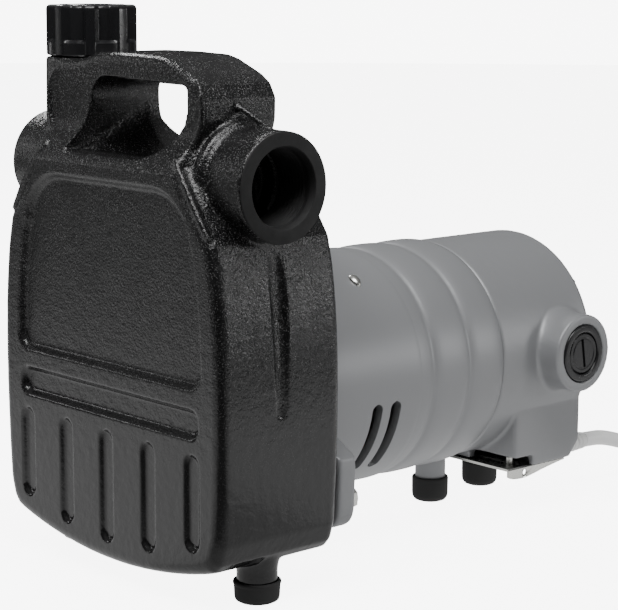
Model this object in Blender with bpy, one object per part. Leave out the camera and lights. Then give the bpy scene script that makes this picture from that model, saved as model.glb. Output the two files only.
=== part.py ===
"""Shallow well jet pump: a cast-iron water end with a carrying handle, bolted to a brush-type motor.

Lengths are metres. Y is measured from the casing's front face inside the empty pump_frame, which puts
the whole pump over the origin: +X is the discharge port's side, +Y the motor, +Z up, the floor is Z = 0.
"""

import math

import bmesh
import bpy
from mathutils import Matrix, Vector

MM = 0.001
GAP = 0.3 * MM

# Whole pump
LENGTH = 280 * MM
BOLT_HEAD = 3.5 * MM
CASING_DEPTH = 72 * MM
CASING_HALF_WIDTH = 84.9 * MM

# Casing, handle and neck
HANDLE_FRONT = 12 * MM
HANDLE_BACK = 56.5 * MM
NECK_X = -54.2 * MM
NECK_RADIUS = 22 * MM
NECK_TOP = 243.5 * MM
CAP_TOP = 268.5 * MM

# Ports: 1 inch female pipe thread
PORT_FACE_X = 87.35 * MM
PORT_Y = 34.5 * MM
PORT_Z = 191.3 * MM
PORT_RADIUS = 25 * MM
PORT_BORE = 16.7 * MM
PORT_MOUTH = 17.5 * MM

# Motor
AXIS_Z = 85 * MM
ADAPTER_FRONT = 73.6 * MM
ADAPTER_BACK = 85 * MM
SHELL_RADIUS = 58.3 * MM
SHELL_WALL = 3 * MM
BELL_FRONT = 209.2 * MM
BOX_FRONT = 228 * MM
BOX_HALF_WIDTH = 51 * MM
BOX_BOTTOM = 25 * MM
SHAFT_RADIUS = 6 * MM
CORE_RADIUS = 26 * MM
COMMUTATOR_RADIUS = 16 * MM

# Brushes
BRUSH_Y = 256.5 * MM
BRUSH_Z = 87.1 * MM
BRUSH_BOSS_RADIUS = 20.6 * MM
BRUSH_BOSS_FACE = 71.6 * MM

# Feet: place, rubber radius and rubber height
CASING_FOOT_X = 68 * MM
CASING_FOOT_Y = 35 * MM
CASING_FOOT_RADIUS = 10.9 * MM
CASING_STEM_RADIUS = 9.5 * MM
CASING_RUBBER_HEIGHT = 9 * MM
MOTOR_FEET = {"front": (-2.5 * MM, 218.5 * MM), "rear": (-8 * MM, 263.5 * MM)}
MOTOR_FOOT_RADIUS = 9.9 * MM
MOTOR_LEG_RADIUS = 8.2 * MM
MOTOR_RUBBER_HEIGHT = 13.5 * MM

# Power cord, with its route's own points, measured like everything else
CORD_RADIUS = 4.2 * MM
CORD_EXIT = Vector((35 * MM, LENGTH, 27 * MM))
CORD_ROUTE = (
    (35 * MM, 300.5 * MM, 27 * MM),
    (35 * MM, 318 * MM, 25.5 * MM),
    (37 * MM, 340 * MM, 19 * MM),
    (41 * MM, 362 * MM, 11.5 * MM),
    (44.3 * MM, 382 * MM, 6.6 * MM),
    (44.8 * MM, 398 * MM, 4.4 * MM),
)
COIL_CENTRE = (108.6 * MM, 400 * MM)
COIL_RADIUS = 48 * MM
COIL_BUNDLE = 14 * MM

COLOURS = {
    "cast_black": (0.012, 0.012, 0.013, 0.38, 0.0),
    "gloss_black": (0.01, 0.01, 0.011, 0.25, 0.0),
    "grey_enamel": (0.24, 0.245, 0.25, 0.35, 0.0),
    "rubber": (0.015, 0.015, 0.015, 0.75, 0.0),
    "zinc": (0.62, 0.62, 0.6, 0.3, 1.0),
    "steel": (0.45, 0.46, 0.47, 0.35, 1.0),
    "copper": (0.72, 0.3, 0.14, 0.35, 1.0),
    "brass": (0.75, 0.56, 0.25, 0.3, 1.0),
    "lamination": (0.3, 0.3, 0.31, 0.5, 0.8),
    "carbon": (0.03, 0.03, 0.032, 0.6, 0.0),
    "cream_plastic": (0.62, 0.58, 0.48, 0.45, 0.0),
    "ceramic": (0.8, 0.78, 0.72, 0.3, 0.0),
    "gasket_paper": (0.2, 0.19, 0.15, 0.9, 0.0),
    "cord_grey": (0.72, 0.72, 0.71, 0.5, 0.0),
}


def material(name):
    """The named material, made the first time it is asked for."""
    made = bpy.data.materials.get(name)
    if made is None:
        red, green, blue, roughness, metallic = COLOURS[name]
        made = bpy.data.materials.new(name)
        made.use_nodes = True
        surface = made.node_tree.nodes["Principled BSDF"]
        surface.inputs["Base Color"].default_value = (red, green, blue, 1)
        surface.inputs["Roughness"].default_value = roughness
        surface.inputs["Metallic"].default_value = metallic
    return made


def add_object(name, data, frame, material_name, origin=(0, 0, 0)):
    made = bpy.data.objects.new(name, data)
    bpy.context.scene.collection.objects.link(made)
    made.parent = frame
    made.location = origin
    data.materials.append(material(material_name))
    return made


def solid_from(name, shape, frame, material_name, origin=(0, 0, 0)):
    """A smooth-shaded object from a bmesh, whose points are measured from the frame."""
    bmesh.ops.remove_doubles(shape, verts=shape.verts, dist=1e-6)
    bmesh.ops.recalc_face_normals(shape, faces=shape.faces)
    bmesh.ops.translate(shape, verts=shape.verts, vec=-Vector(origin))
    mesh = bpy.data.meshes.new(name)
    shape.to_mesh(mesh)
    shape.free()
    mesh.shade_smooth()
    mesh.set_sharp_from_angle(angle=math.radians(32))
    return add_object(name, mesh, frame, material_name, origin)


def loft(outlines):
    """A closed bmesh through outlines with equal point counts, capped at the first and the last."""
    shape = bmesh.new()
    rings = [[shape.verts.new(point) for point in outline] for outline in outlines]
    count = len(rings[0])
    for low, high in zip(rings, rings[1:]):
        for i in range(count):
            j = (i + 1) % count
            shape.faces.new((low[i], low[j], high[j], high[i]))
    shape.faces.new(rings[0])
    shape.faces.new(rings[-1])
    return shape


def along_y(outline, *stations):
    """The (x, z) outline placed at each Y, for loft."""
    return [[(x, y, z) for x, z in outline] for y in stations]


def box(low, high):
    (x0, y0, z0), (x1, y1, z1) = low, high
    corners = [(x0, y0), (x1, y0), (x1, y1), (x0, y1)]
    return loft([[(x, y, z) for x, y in corners] for z in (z0, z1)])


AXES = {
    "X": Matrix(((0, 0, 1), (1, 0, 0), (0, 1, 0))),
    "Y": Matrix(((1, 0, 0), (0, 0, 1), (0, -1, 0))),
    "Z": Matrix.Identity(3),
}


def turned(profile, axis, centre, segments=16):
    """A bmesh turned about axis through centre. The profile is closed: (radius, distance along) pairs."""
    shape = bmesh.new()
    turn = AXES[axis]
    rings = []
    for radius, along in profile:
        steps = segments if radius > 0 else 1
        ring = []
        for i in range(steps):
            angle = 2 * math.pi * i / segments
            local = Vector((radius * math.cos(angle), radius * math.sin(angle), along))
            ring.append(shape.verts.new(Vector(centre) + turn @ local))
        rings.append(ring)
    for ring, following in zip(rings, rings[1:] + rings[:1]):
        for i in range(segments):
            j = (i + 1) % segments
            corners = [ring[i % len(ring)], ring[j % len(ring)]]
            corners += [following[j % len(following)], following[i % len(following)]]
            distinct = list(dict.fromkeys(corners))
            if len(distinct) > 2:
                shape.faces.new(distinct)
    return shape


def rod(radius, start, end, axis, centre, segments=16, chamfer=0.0):
    """A cylinder from start to end along axis, with both rims chamfered."""
    low, high = min(start, end), max(start, end)
    profile = [(0, low), (radius - chamfer, low)]
    if chamfer:
        profile += [(radius, low + chamfer), (radius, high - chamfer)]
    profile += [(radius - chamfer, high), (0, high)]
    return turned(profile, axis, centre, segments)


def ring(inner, outer, start, end, axis, centre, segments=16):
    profile = [(inner, start), (outer, start), (outer, end), (inner, end)]
    return turned(profile, axis, centre, segments)


def rounded_rect(x0, x1, z0, z1, radii, steps=5):
    """Outline with its own radius at each corner: bottom right, top right, top left, bottom left."""
    corners = [
        (x1, z0, -90, (-1, 1)),
        (x1, z1, 0, (-1, -1)),
        (x0, z1, 90, (1, -1)),
        (x0, z0, 180, (1, 1)),
    ]
    outline = []
    for (x, z, first, inward), radius in zip(corners, radii):
        centre_x = x + inward[0] * radius
        centre_z = z + inward[1] * radius
        for i in range(steps + 1):
            angle = math.radians(first + 90 * i / steps)
            outline.append((centre_x + radius * math.cos(angle), centre_z + radius * math.sin(angle)))
    return outline


def combine(target, tool, operation):
    """Adds tool to target, or takes it away, and hides the tool. Coaxial rims defeat the exact solver."""
    tool.hide_render = True
    tool.display_type = "WIRE"
    modifier = target.modifiers.new(tool.name, "BOOLEAN")
    modifier.object = tool
    modifier.operation = operation
    if target.name in ROUND_HOUSINGS:
        modifier.solver = "MANIFOLD"


ROUND_HOUSINGS = ("pump_casing", "motor_adapter", "end_bell")


def cut(target, shape, label):
    combine(target, solid_from(f"cutter_{target.name}_{label}", shape, target.parent, "steel"), "DIFFERENCE")


def fuse(target, shape, label):
    combine(target, solid_from(f"adds_{target.name}_{label}", shape, target.parent, "steel"), "UNION")


def round_edges(target, width, segments, angle=50):
    modifier = target.modifiers.new("rounded edges", "BEVEL")
    modifier.width = width
    modifier.segments = segments
    modifier.limit_method = "ANGLE"
    modifier.angle_limit = math.radians(angle)


def scaled(outline, inset_x, inset_z, centre_z):
    """The (x, z) outline drawn in towards X = 0 and centre_z by these insets."""
    half = max(abs(x) for x, _ in outline)
    tall = max(abs(z - centre_z) for _, z in outline)
    factor_x = 1 - inset_x / half
    factor_z = 1 - inset_z / tall
    return [(x * factor_x, centre_z + (z - centre_z) * factor_z) for x, z in outline]


def mirrored(half):
    """A closed outline from its right half, whose first and last points may lie on X = 0."""
    left = [(-x, z) for x, z in reversed(half) if x > 0]
    return list(half) + left


def lower_outline():
    """The casing's lower body seen from the front: a round belly, near-upright sides, sloped shoulders."""
    belly_radius = 270 * MM
    belly_bottom = 9.7 * MM
    belly = []
    for x in (0, 15 * MM, 30 * MM, 45 * MM, 60 * MM, 72 * MM):
        belly.append((x, belly_bottom + belly_radius - math.sqrt(belly_radius**2 - x**2)))
    sides = [
        (80.2 * MM, 24.9 * MM),
        (82.9 * MM, 33.6 * MM),
        (84.3 * MM, 60 * MM),
        (CASING_HALF_WIDTH, 95 * MM),
        (84 * MM, 125 * MM),
        (81.3 * MM, 150 * MM),
        (77.6 * MM, 167.4 * MM),
        (56 * MM, 198 * MM),
    ]
    return mirrored(belly + sides + [(0, 199 * MM)])


def handle_outline():
    """The handle, its pillar and the web to the neck, seen from the front."""
    return [
        (NECK_X, 150 * MM),
        (50 * MM, 150 * MM),
        (56 * MM, 186 * MM),
        (55.5 * MM, 202 * MM),
        (58.5 * MM, 216 * MM),
        (58 * MM, 229 * MM),
        (54.5 * MM, 235.5 * MM),
        (49 * MM, 239.3 * MM),
        (33 * MM, 246 * MM),
        (26 * MM, 247.8 * MM),
        (4 * MM, 248.6 * MM),
        (-20 * MM, 248.2 * MM),
        (-31 * MM, 245 * MM),
        (-38 * MM, NECK_TOP - 0.4 * MM),
        (NECK_X, NECK_TOP - 0.4 * MM),
    ]


def cove(front, back):
    """The hollow slope from the lower body's face at front to the handle's face at back, as (y, z)."""
    slope = [(0.0, 196), (0.22, 200), (0.5, 205), (0.8, 209.5), (1.0, 214)]
    inner = back + 8 * MM * (1 if back > front else -1)
    points = [(front + share * (back - front), z * MM) for share, z in slope]
    return points + [(inner, 214 * MM), (inner, 190 * MM), (front, 190 * MM)]


def make_casing(frame):
    """Casing: belly, handle, neck, two port bosses and two foot stems, hollow inside."""
    outline = lower_outline()
    casing = solid_from("pump_casing", loft(along_y(outline, 0, CASING_DEPTH)), frame, "cast_black")
    round_edges(casing, 3.8 * MM, 2)

    handle = solid_from(
        "adds_handle", loft(along_y(handle_outline(), HANDLE_FRONT, HANDLE_BACK)), frame, "cast_black"
    )
    round_edges(handle, 3.5 * MM, 2)
    combine(casing, handle, "UNION")
    for label, front, back in (("front", 0, HANDLE_FRONT), ("back", CASING_DEPTH, HANDLE_BACK)):
        profile = cove(front, back)
        shape = loft([[(x, y, z) for y, z in profile] for x in (-55 * MM, 53.5 * MM)])
        fuse(casing, shape, f"cove_{label}")
    fuse(casing, rod(NECK_RADIUS, 160 * MM, NECK_TOP, "Z", (NECK_X, PORT_Y, 0), 32, 1 * MM), "neck")
    for side, label in ((-1, "left"), (1, "right")):
        centre = (0, PORT_Y, PORT_Z)
        boss = [(0, side * 30 * MM), (29 * MM, side * 50 * MM), (28 * MM, side * 60 * MM)]
        boss += [(PORT_RADIUS, side * 67 * MM), (PORT_RADIUS, side * (PORT_FACE_X - 0.6 * MM))]
        boss += [(PORT_RADIUS - 0.6 * MM, side * PORT_FACE_X), (0, side * PORT_FACE_X)]
        fuse(casing, turned(boss, "X", centre, 32), f"boss_{label}")
        stem_top = 40 * MM
        stem_bottom = 3 * MM + GAP
        stem_centre = (side * CASING_FOOT_X, CASING_FOOT_Y, 0)
        fuse(casing, rod(CASING_STEM_RADIUS, stem_bottom, stem_top, "Z", stem_centre), f"stem_{label}")

    cut(casing, loft(along_y(handle_opening(), -5 * MM, 80 * MM)), "handle_opening")
    cut_front_panels(casing)
    hollow_casing(casing)
    return casing


def handle_opening():
    radii = (9 * MM, 5 * MM, 14 * MM, 10 * MM)
    return rounded_rect(-25 * MM, 48 * MM, 201.5 * MM, 236 * MM, radii)


def panel_outline():
    """The large recess: nearly as wide as the belly, narrowing to big round shoulders."""
    bottom, top = 101.8 * MM, 190.5 * MM
    half = [(0, bottom), (63 * MM, bottom), (68.5 * MM, bottom + 2.5 * MM), (71.5 * MM, bottom + 9 * MM)]
    half += [(69.5 * MM, 141 * MM), (66 * MM, 162 * MM)]
    shoulder = 27 * MM
    for i in range(6):
        angle = math.radians(8 + 82 * i / 5)
        half.append((37 * MM + shoulder * math.cos(angle), top + shoulder * (math.sin(angle) - 1)))
    half.append((0, top))
    return mirrored(half)


def cut_front_panels(casing):
    """Large recess, the narrow one under it and five upright grooves, all with sloping walls."""
    depth = 3.6 * MM
    draft = 2 * MM
    recesses = [("panel", panel_outline(), 146 * MM)]
    band = rounded_rect(-69.5 * MM, 69.5 * MM, 79.4 * MM, 94.4 * MM, (6 * MM,) * 4, 4)
    recesses.append(("band", band, 86.9 * MM))
    for index in range(5):
        x = (index - 2) * 32.1 * MM
        bottom = (19 + 2.4 * (index - 2) ** 2) * MM
        outline = rounded_rect(x - 5.5 * MM, x + 5.5 * MM, bottom, 73.7 * MM, (5.4 * MM,) * 4, 4)
        recesses.append((f"groove_{index + 1}", outline, (bottom + 73.7 * MM) / 2))
    for label, rim, middle in recesses:
        centre_x = sum(x for x, _ in rim) / len(rim)
        centred = [(x - centre_x, z) for x, z in rim]
        floor = [(x + centre_x, z) for x, z in scaled(centred, draft, draft, middle)]
        outside = [(x, -1 * MM, z) for x, z in rim]
        at_face = [(x, 0.05 * MM, z) for x, z in rim]
        cut(casing, loft([outside, at_face, [(x, depth, z) for x, z in floor]]), label)


def hollow_casing(casing):
    """The water chamber, its round back opening, the port bores with their channels, and the neck bore."""
    chamber = scaled(lower_outline(), 10 * MM, 22 * MM, 92 * MM)
    chamber = [(x, min(z, 164 * MM)) for x, z in chamber]
    cut(casing, loft(along_y(chamber, 8.5 * MM, 63 * MM)), "chamber")
    cut(casing, rod(50 * MM, 60 * MM, 75 * MM, "Y", (0, 0, AXIS_Z), 32), "back_opening")
    centre = (0, PORT_Y, PORT_Z)
    inner_end = {-1: 33 * MM, 1: 54 * MM}
    for side, label in ((-1, "suction"), (1, "discharge")):
        bore = [(0, side * inner_end[side]), (PORT_BORE - 0.5 * MM, side * inner_end[side])]
        bore += [(PORT_BORE, side * (PORT_FACE_X - 2 * MM)), (PORT_MOUTH, side * PORT_FACE_X)]
        bore += [(PORT_MOUTH, side * (PORT_FACE_X + 1 * MM)), (0, side * (PORT_FACE_X + 1 * MM))]
        cut(casing, turned(bore, "X", centre, 24), f"{label}_bore")
        low_x, high_x = sorted((side * 42 * MM, side * 66 * MM))
        channel = box((low_x, 23 * MM, 155 * MM), (high_x, 46 * MM, PORT_Z - 1 * MM))
        cut(casing, channel, f"{label}_channel")
    cut(casing, rod(15 * MM, 190 * MM, 250 * MM, "Z", (NECK_X, PORT_Y, 0)), "neck_bore")


def make_priming_cap(frame):
    """A ribbed screw cap whose plug reaches into the neck, and the seal ring that it lands on."""
    centre = (NECK_X, PORT_Y, 0)
    skirt_bottom = NECK_TOP + 2.2 * MM
    radius = 21.7 * MM
    profile = [
        (0, 230 * MM),
        (14.6 * MM, 230 * MM),
        (14.6 * MM, skirt_bottom),
        (radius, skirt_bottom),
        (radius, CAP_TOP - 1.5 * MM),
        (radius - 1.5 * MM, CAP_TOP),
        (11 * MM, CAP_TOP),
        (10 * MM, CAP_TOP + 0.8 * MM),
        (0, CAP_TOP + 0.8 * MM),
    ]
    cap = solid_from("priming_cap", turned(profile, "Z", centre, 36), frame, "gloss_black", centre)
    for index in range(6):
        angle = math.radians(60 * index + 20)
        place = (centre[0] + 24.6 * MM * math.cos(angle), centre[1] + 24.6 * MM * math.sin(angle), 0)
        scallop = rod(6.2 * MM, skirt_bottom + 6 * MM, CAP_TOP + 2 * MM, "Z", place, 14)
        cut(cap, scallop, f"scallop_{index + 1}")
    seal = ring(15.6 * MM, 19 * MM, NECK_TOP + GAP, skirt_bottom - GAP, "Z", centre)
    solid_from("cap_seal", seal, frame, "rubber", centre)


def make_check_valve(frame):
    """Seat ring pressed at the inner end of the suction bore, and the flap that hangs on it."""
    centre = (0, PORT_Y, PORT_Z)
    seat_x = -58 * MM
    seat = ring(9.5 * MM, PORT_BORE - 1 * MM, seat_x - 4 * MM, seat_x, "X", centre)
    solid_from("check_valve_seat", seat, frame, "brass")
    pin_z = PORT_Z + 13.2 * MM
    flap_pivot = (seat_x + GAP + 1.3 * MM, PORT_Y, pin_z)
    disc = rod(11.5 * MM, seat_x + GAP, seat_x + GAP + 2.4 * MM, "X", centre)
    flap = solid_from("check_valve_flap", disc, frame, "rubber", flap_pivot)
    half = 5 * MM
    tab = box(
        (seat_x + GAP, PORT_Y - half, PORT_Z + 9 * MM), (seat_x + GAP + 2.4 * MM, PORT_Y + half, pin_z)
    )
    fuse(flap, tab, "tab")
    knuckle = rod(1.2 * MM, PORT_Y - half, PORT_Y + half, "Y", (flap_pivot[0], 0, pin_z), 12)
    fuse(flap, knuckle, "knuckle")


def make_jet(frame):
    """Nozzle on the front wall, and the venturi that leads from it to the impeller's eye."""
    centre = (0, 0, AXIS_Z)
    nozzle = [(3.2 * MM, 8.8 * MM), (9 * MM, 8.8 * MM), (9 * MM, 13 * MM), (5.6 * MM, 19 * MM)]
    nozzle += [(3.2 * MM, 19 * MM)]
    solid_from("jet_nozzle", turned(nozzle, "Y", centre), frame, "brass")
    venturi = [(9.5 * MM, 22 * MM), (5 * MM, 26 * MM), (6.5 * MM, 36 * MM), (9 * MM, 36 * MM)]
    venturi += [(9 * MM, 30 * MM), (12 * MM, 22 * MM)]
    solid_from("venturi_tube", turned(venturi, "Y", centre), frame, "cream_plastic")
    diffuser = [(9.4 * MM, 31 * MM), (13 * MM, 31 * MM), (13 * MM, 38 * MM), (47.5 * MM, 38 * MM)]
    diffuser += [(47.5 * MM, 62 * MM), (44.5 * MM, 62 * MM), (44.5 * MM, 41 * MM), (9.4 * MM, 41 * MM)]
    body = solid_from("diffuser", turned(diffuser, "Y", centre, 32), frame, "cream_plastic")
    outlet = box((20 * MM, 43 * MM, AXIS_Z + 25 * MM), (36 * MM, 60 * MM, AXIS_Z + 55 * MM))
    cut(body, outlet, "outlet")


def make_impeller(frame):
    """Closed impeller with six vanes' worth of rim ports, and the nut that holds it."""
    centre = (0, 0, AXIS_Z)
    profile = [(SHAFT_RADIUS - 1.9 * MM, 46.3 * MM), (10 * MM, 46.3 * MM), (11 * MM, 43 * MM)]
    profile += [(41 * MM, 45 * MM), (42 * MM, 56 * MM), (12 * MM, 58.5 * MM), (SHAFT_RADIUS - 1.9 * MM, 58.5 * MM)]
    impeller = solid_from("impeller", turned(profile, "Y", centre, 24), frame, "cream_plastic", centre)
    for index in range(6):
        angle = math.radians(60 * index)
        place = (37.5 * MM * math.cos(angle), 0, AXIS_Z + 37.5 * MM * math.sin(angle))
        cut(impeller, rod(3.4 * MM, 40 * MM, 60 * MM, "Y", place, 10), f"passage_{index + 1}")
    nut = rod(7 * MM, 41 * MM, 42.7 * MM, "Y", centre, 6)
    nut = solid_from("impeller_nut", nut, frame, "brass", centre)
    cut(nut, rod(4.1 * MM, 39 * MM, 48 * MM, "Y", centre), "thread")


def make_shaft_seal(frame):
    """Fixed ceramic seat in the adapter, and the carbon head, spring and slinger that turn with the shaft."""
    centre = (0, 0, AXIS_Z)
    around = SHAFT_RADIUS + GAP
    solid_from("seal_seat", ring(around, 12 * MM, 68.5 * MM, 73 * MM, "Y", centre), frame, "ceramic")
    solid_from("seal_head", ring(around, 10 * MM, 64.8 * MM, 68.2 * MM, "Y", centre), frame, "carbon", centre)
    spring = ring(around + 0.4 * MM, 9 * MM, 58.9 * MM, 64.5 * MM, "Y", centre)
    solid_from("seal_spring", spring, frame, "steel", centre)
    slinger = ring(around, 15 * MM, 95 * MM, 97 * MM, "Y", centre)
    solid_from("water_slinger", slinger, frame, "rubber", centre)


def adapter_outline():
    """Round motor flange with two upper ears and square lower ones, seen from the front."""
    outline = []
    for i in range(18):
        degrees = -12 + 12 * i
        nearest_ear = min(abs(degrees - UPPER_BOLT_ANGLE), abs(180 - degrees - UPPER_BOLT_ANGLE))
        radius = 66 * MM + 17 * MM * max(0, 1 - (nearest_ear / 15) ** 2)
        angle = math.radians(degrees)
        outline.append((radius * math.cos(angle), AXIS_Z + radius * math.sin(angle)))
    ear = [(80 * MM, 62 * MM), (80 * MM, 38 * MM), (77 * MM, 31 * MM), (70 * MM, 27.5 * MM)]
    left = [(-x, z) for x, z in ear]
    return outline + left + [(-40 * MM, 25.5 * MM), (40 * MM, 25.5 * MM)] + ear[::-1]


UPPER_BOLT_ANGLE = 42
UPPER_BOLT_X = 73 * MM * math.cos(math.radians(UPPER_BOLT_ANGLE))
UPPER_BOLT_Z = AXIS_Z + 73 * MM * math.sin(math.radians(UPPER_BOLT_ANGLE))
BOLT_PLACES = {
    "upper_left": (-UPPER_BOLT_X, UPPER_BOLT_Z),
    "upper_right": (UPPER_BOLT_X, UPPER_BOLT_Z),
    "lower_left": (-71.5 * MM, 40 * MM),
    "lower_right": (71.5 * MM, 40 * MM),
}


def make_adapter(frame):
    """Gasket, motor adapter flange and the four bolts that hold it to the casing."""
    centre = (0, 0, AXIS_Z)
    outline = adapter_outline()
    gasket = loft(along_y(scaled(outline, 3 * MM, 3 * MM, AXIS_Z), CASING_DEPTH + GAP, ADAPTER_FRONT - GAP))
    gasket = solid_from("casing_gasket", gasket, frame, "gasket_paper")
    cut(gasket, rod(51 * MM, 70 * MM, 76 * MM, "Y", centre, 32), "opening")
    plate = loft(along_y(outline, ADAPTER_FRONT, ADAPTER_BACK))
    adapter = solid_from("motor_adapter", plate, frame, "grey_enamel")
    round_edges(adapter, 1.5 * MM, 2)
    fuse(adapter, rod(22 * MM, 79 * MM, 94.5 * MM, "Y", centre, 30), "bearing_boss")
    fuse(adapter, rod(49 * MM, 66.5 * MM, 82 * MM, "Y", centre, 40), "spigot")
    through = [(0, 60 * MM), (12.3 * MM, 60 * MM), (12.3 * MM, 74 * MM), (8.5 * MM, 74 * MM)]
    through += [(8.5 * MM, 86 * MM), (11.3 * MM, 86 * MM), (11.3 * MM, 100 * MM), (0, 100 * MM)]
    cut(adapter, turned(through, "Y", centre), "seal_and_bearing_pockets")
    for label, (x, z) in BOLT_PLACES.items():
        place = (x, 0, z)
        cut(adapter, rod(3.5 * MM, 60 * MM, 100 * MM, "Y", place, 12), f"hole_{label}")
        cut(gasket, rod(3.5 * MM, 70 * MM, 76 * MM, "Y", place, 12), f"hole_{label}")
        cut(bpy.data.objects["pump_casing"], rod(3.5 * MM, 64.5 * MM, 75 * MM, "Y", place, 12), f"hole_{label}")
        washer_back = ADAPTER_BACK + 1.3 * MM
        shank = [(0, 65.5 * MM), (3.2 * MM, 65.5 * MM), (3.2 * MM, ADAPTER_BACK + GAP)]
        shank += [(7 * MM, ADAPTER_BACK + GAP), (7 * MM, washer_back), (0, washer_back)]
        bolt = solid_from(f"casing_bolt_{label}", turned(shank, "Y", place, 12), frame, "zinc")
        head = rod(6.3 * MM, washer_back - 0.5 * MM, washer_back + 4 * MM, "Y", place, 6)
        fuse(bolt, head, "head")


def shell_profile():
    """Outside of the motor shell as (radius, y): a plain front and two shallow humps between creases."""
    front = ADAPTER_BACK + GAP
    crease, hump = 58.7 * MM, 60 * MM
    outside = [(59 * MM, front), (59.5 * MM, 96 * MM), (59.6 * MM, 150 * MM), (crease, 158.5 * MM)]
    outside += [(59.6 * MM, 163 * MM), (hump, 171.5 * MM), (59.6 * MM, 180 * MM), (crease, 184.5 * MM)]
    outside += [(59.6 * MM, 189 * MM), (hump, 197 * MM), (59.4 * MM, 204.5 * MM), (58.4 * MM, BELL_FRONT - GAP)]
    return outside


def make_motor_shell(frame):
    """Turned shell with two curved air slots low on each side."""
    centre = (0, 0, AXIS_Z)
    inside = SHELL_RADIUS - SHELL_WALL
    profile = shell_profile()
    profile += [(inside, profile[-1][1]), (inside, profile[0][1])]
    shell = solid_from("motor_shell", turned(profile, "Y", centre, 40), frame, "grey_enamel")
    for side, label in ((-1, "left"), (1, "right")):
        for index, y in enumerate((119.5 * MM, 131.8 * MM)):
            cut(shell, air_slot(side, y), f"slot_{label}_{index + 1}")


def air_slot(side, y):
    """A curved slot that follows the shell from just under its side to near its bottom."""
    half_width = 2.9 * MM
    sections = []
    for i in range(6):
        angle = math.radians(-7 - 40 * i / 5)
        narrowing = math.sin(math.pi * (i + 0.35) / 5.7) ** 0.25
        corners = []
        for radius, offset in ((50, -1), (66, -1), (66, 1), (50, 1)):
            x = side * radius * MM * math.cos(angle)
            z = AXIS_Z + radius * MM * math.sin(angle)
            corners.append((x, y + offset * half_width * narrowing, z))
        sections.append(corners)
    return loft(sections)


def make_end_bell(frame):
    """Rear housing: round above, a square terminal box below, and a boss for each brush."""
    centre = (0, 0, AXIS_Z)
    profile = [(0, BELL_FRONT), (58.4 * MM, BELL_FRONT), (SHELL_RADIUS, BELL_FRONT + 3 * MM)]
    profile += [(SHELL_RADIUS, LENGTH - 2.5 * MM), (SHELL_RADIUS - 2.5 * MM, LENGTH), (0, LENGTH)]
    bell = solid_from("end_bell", turned(profile, "Y", centre, 40), frame, "grey_enamel")
    side_view = [(BOX_FRONT, 80 * MM), (BOX_FRONT, BOX_BOTTOM), (272 * MM, BOX_BOTTOM)]
    side_view += [(279.6 * MM, 33.5 * MM), (279.6 * MM, 80 * MM)]
    edges = (-BOX_HALF_WIDTH, BOX_HALF_WIDTH)
    terminal_box = solid_from(
        "adds_terminal_box", loft([[(x, y, z) for y, z in side_view] for x in edges]), frame, "grey_enamel"
    )
    round_edges(terminal_box, 1.5 * MM, 2)
    combine(bell, terminal_box, "UNION")
    brush_centre = (0, BRUSH_Y, BRUSH_Z)
    for side, label in ((-1, "left"), (1, "right")):
        boss = [(0, side * 40 * MM), (22 * MM, side * 40 * MM), (BRUSH_BOSS_RADIUS, side * 62 * MM)]
        boss += [(BRUSH_BOSS_RADIUS, side * (BRUSH_BOSS_FACE - 0.8 * MM))]
        boss += [(BRUSH_BOSS_RADIUS - 0.8 * MM, side * BRUSH_BOSS_FACE), (0, side * BRUSH_BOSS_FACE)]
        fuse(bell, turned(boss, "X", brush_centre, 28), f"brush_boss_{label}")
    hollow = [(0, 200 * MM), (54 * MM, 200 * MM), (54 * MM, 275.6 * MM), (16 * MM, 275.6 * MM)]
    hollow += [(16 * MM, 267.5 * MM), (11.3 * MM, 267.5 * MM), (11.3 * MM, 276.2 * MM), (0, 276.2 * MM)]
    cut(bell, turned(hollow, "Y", centre, 40), "inside")
    cut(bell, box((-47 * MM, 232 * MM, 15 * MM), (47 * MM, 268 * MM, 70 * MM)), "terminal_space")
    cut(bell, box((42 * MM, 220 * MM, 15 * MM), (60 * MM, 242.5 * MM, 30.5 * MM)), "notch")
    for side, label in ((-1, "left"), (1, "right")):
        cut(bell, rod(10.3 * MM, side * 30 * MM, side * 80 * MM, "X", brush_centre, 28), f"brush_hole_{label}")
        flange_seat = rod(15.3 * MM, side * 66 * MM, side * 80 * MM, "X", brush_centre, 32)
        cut(bell, flange_seat, f"flange_seat_{label}")
    cut(bell, rod(5.3 * MM, 262 * MM, 290 * MM, "Y", (CORD_EXIT.x, 0, CORD_EXIT.z), 16), "cord_hole")


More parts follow.
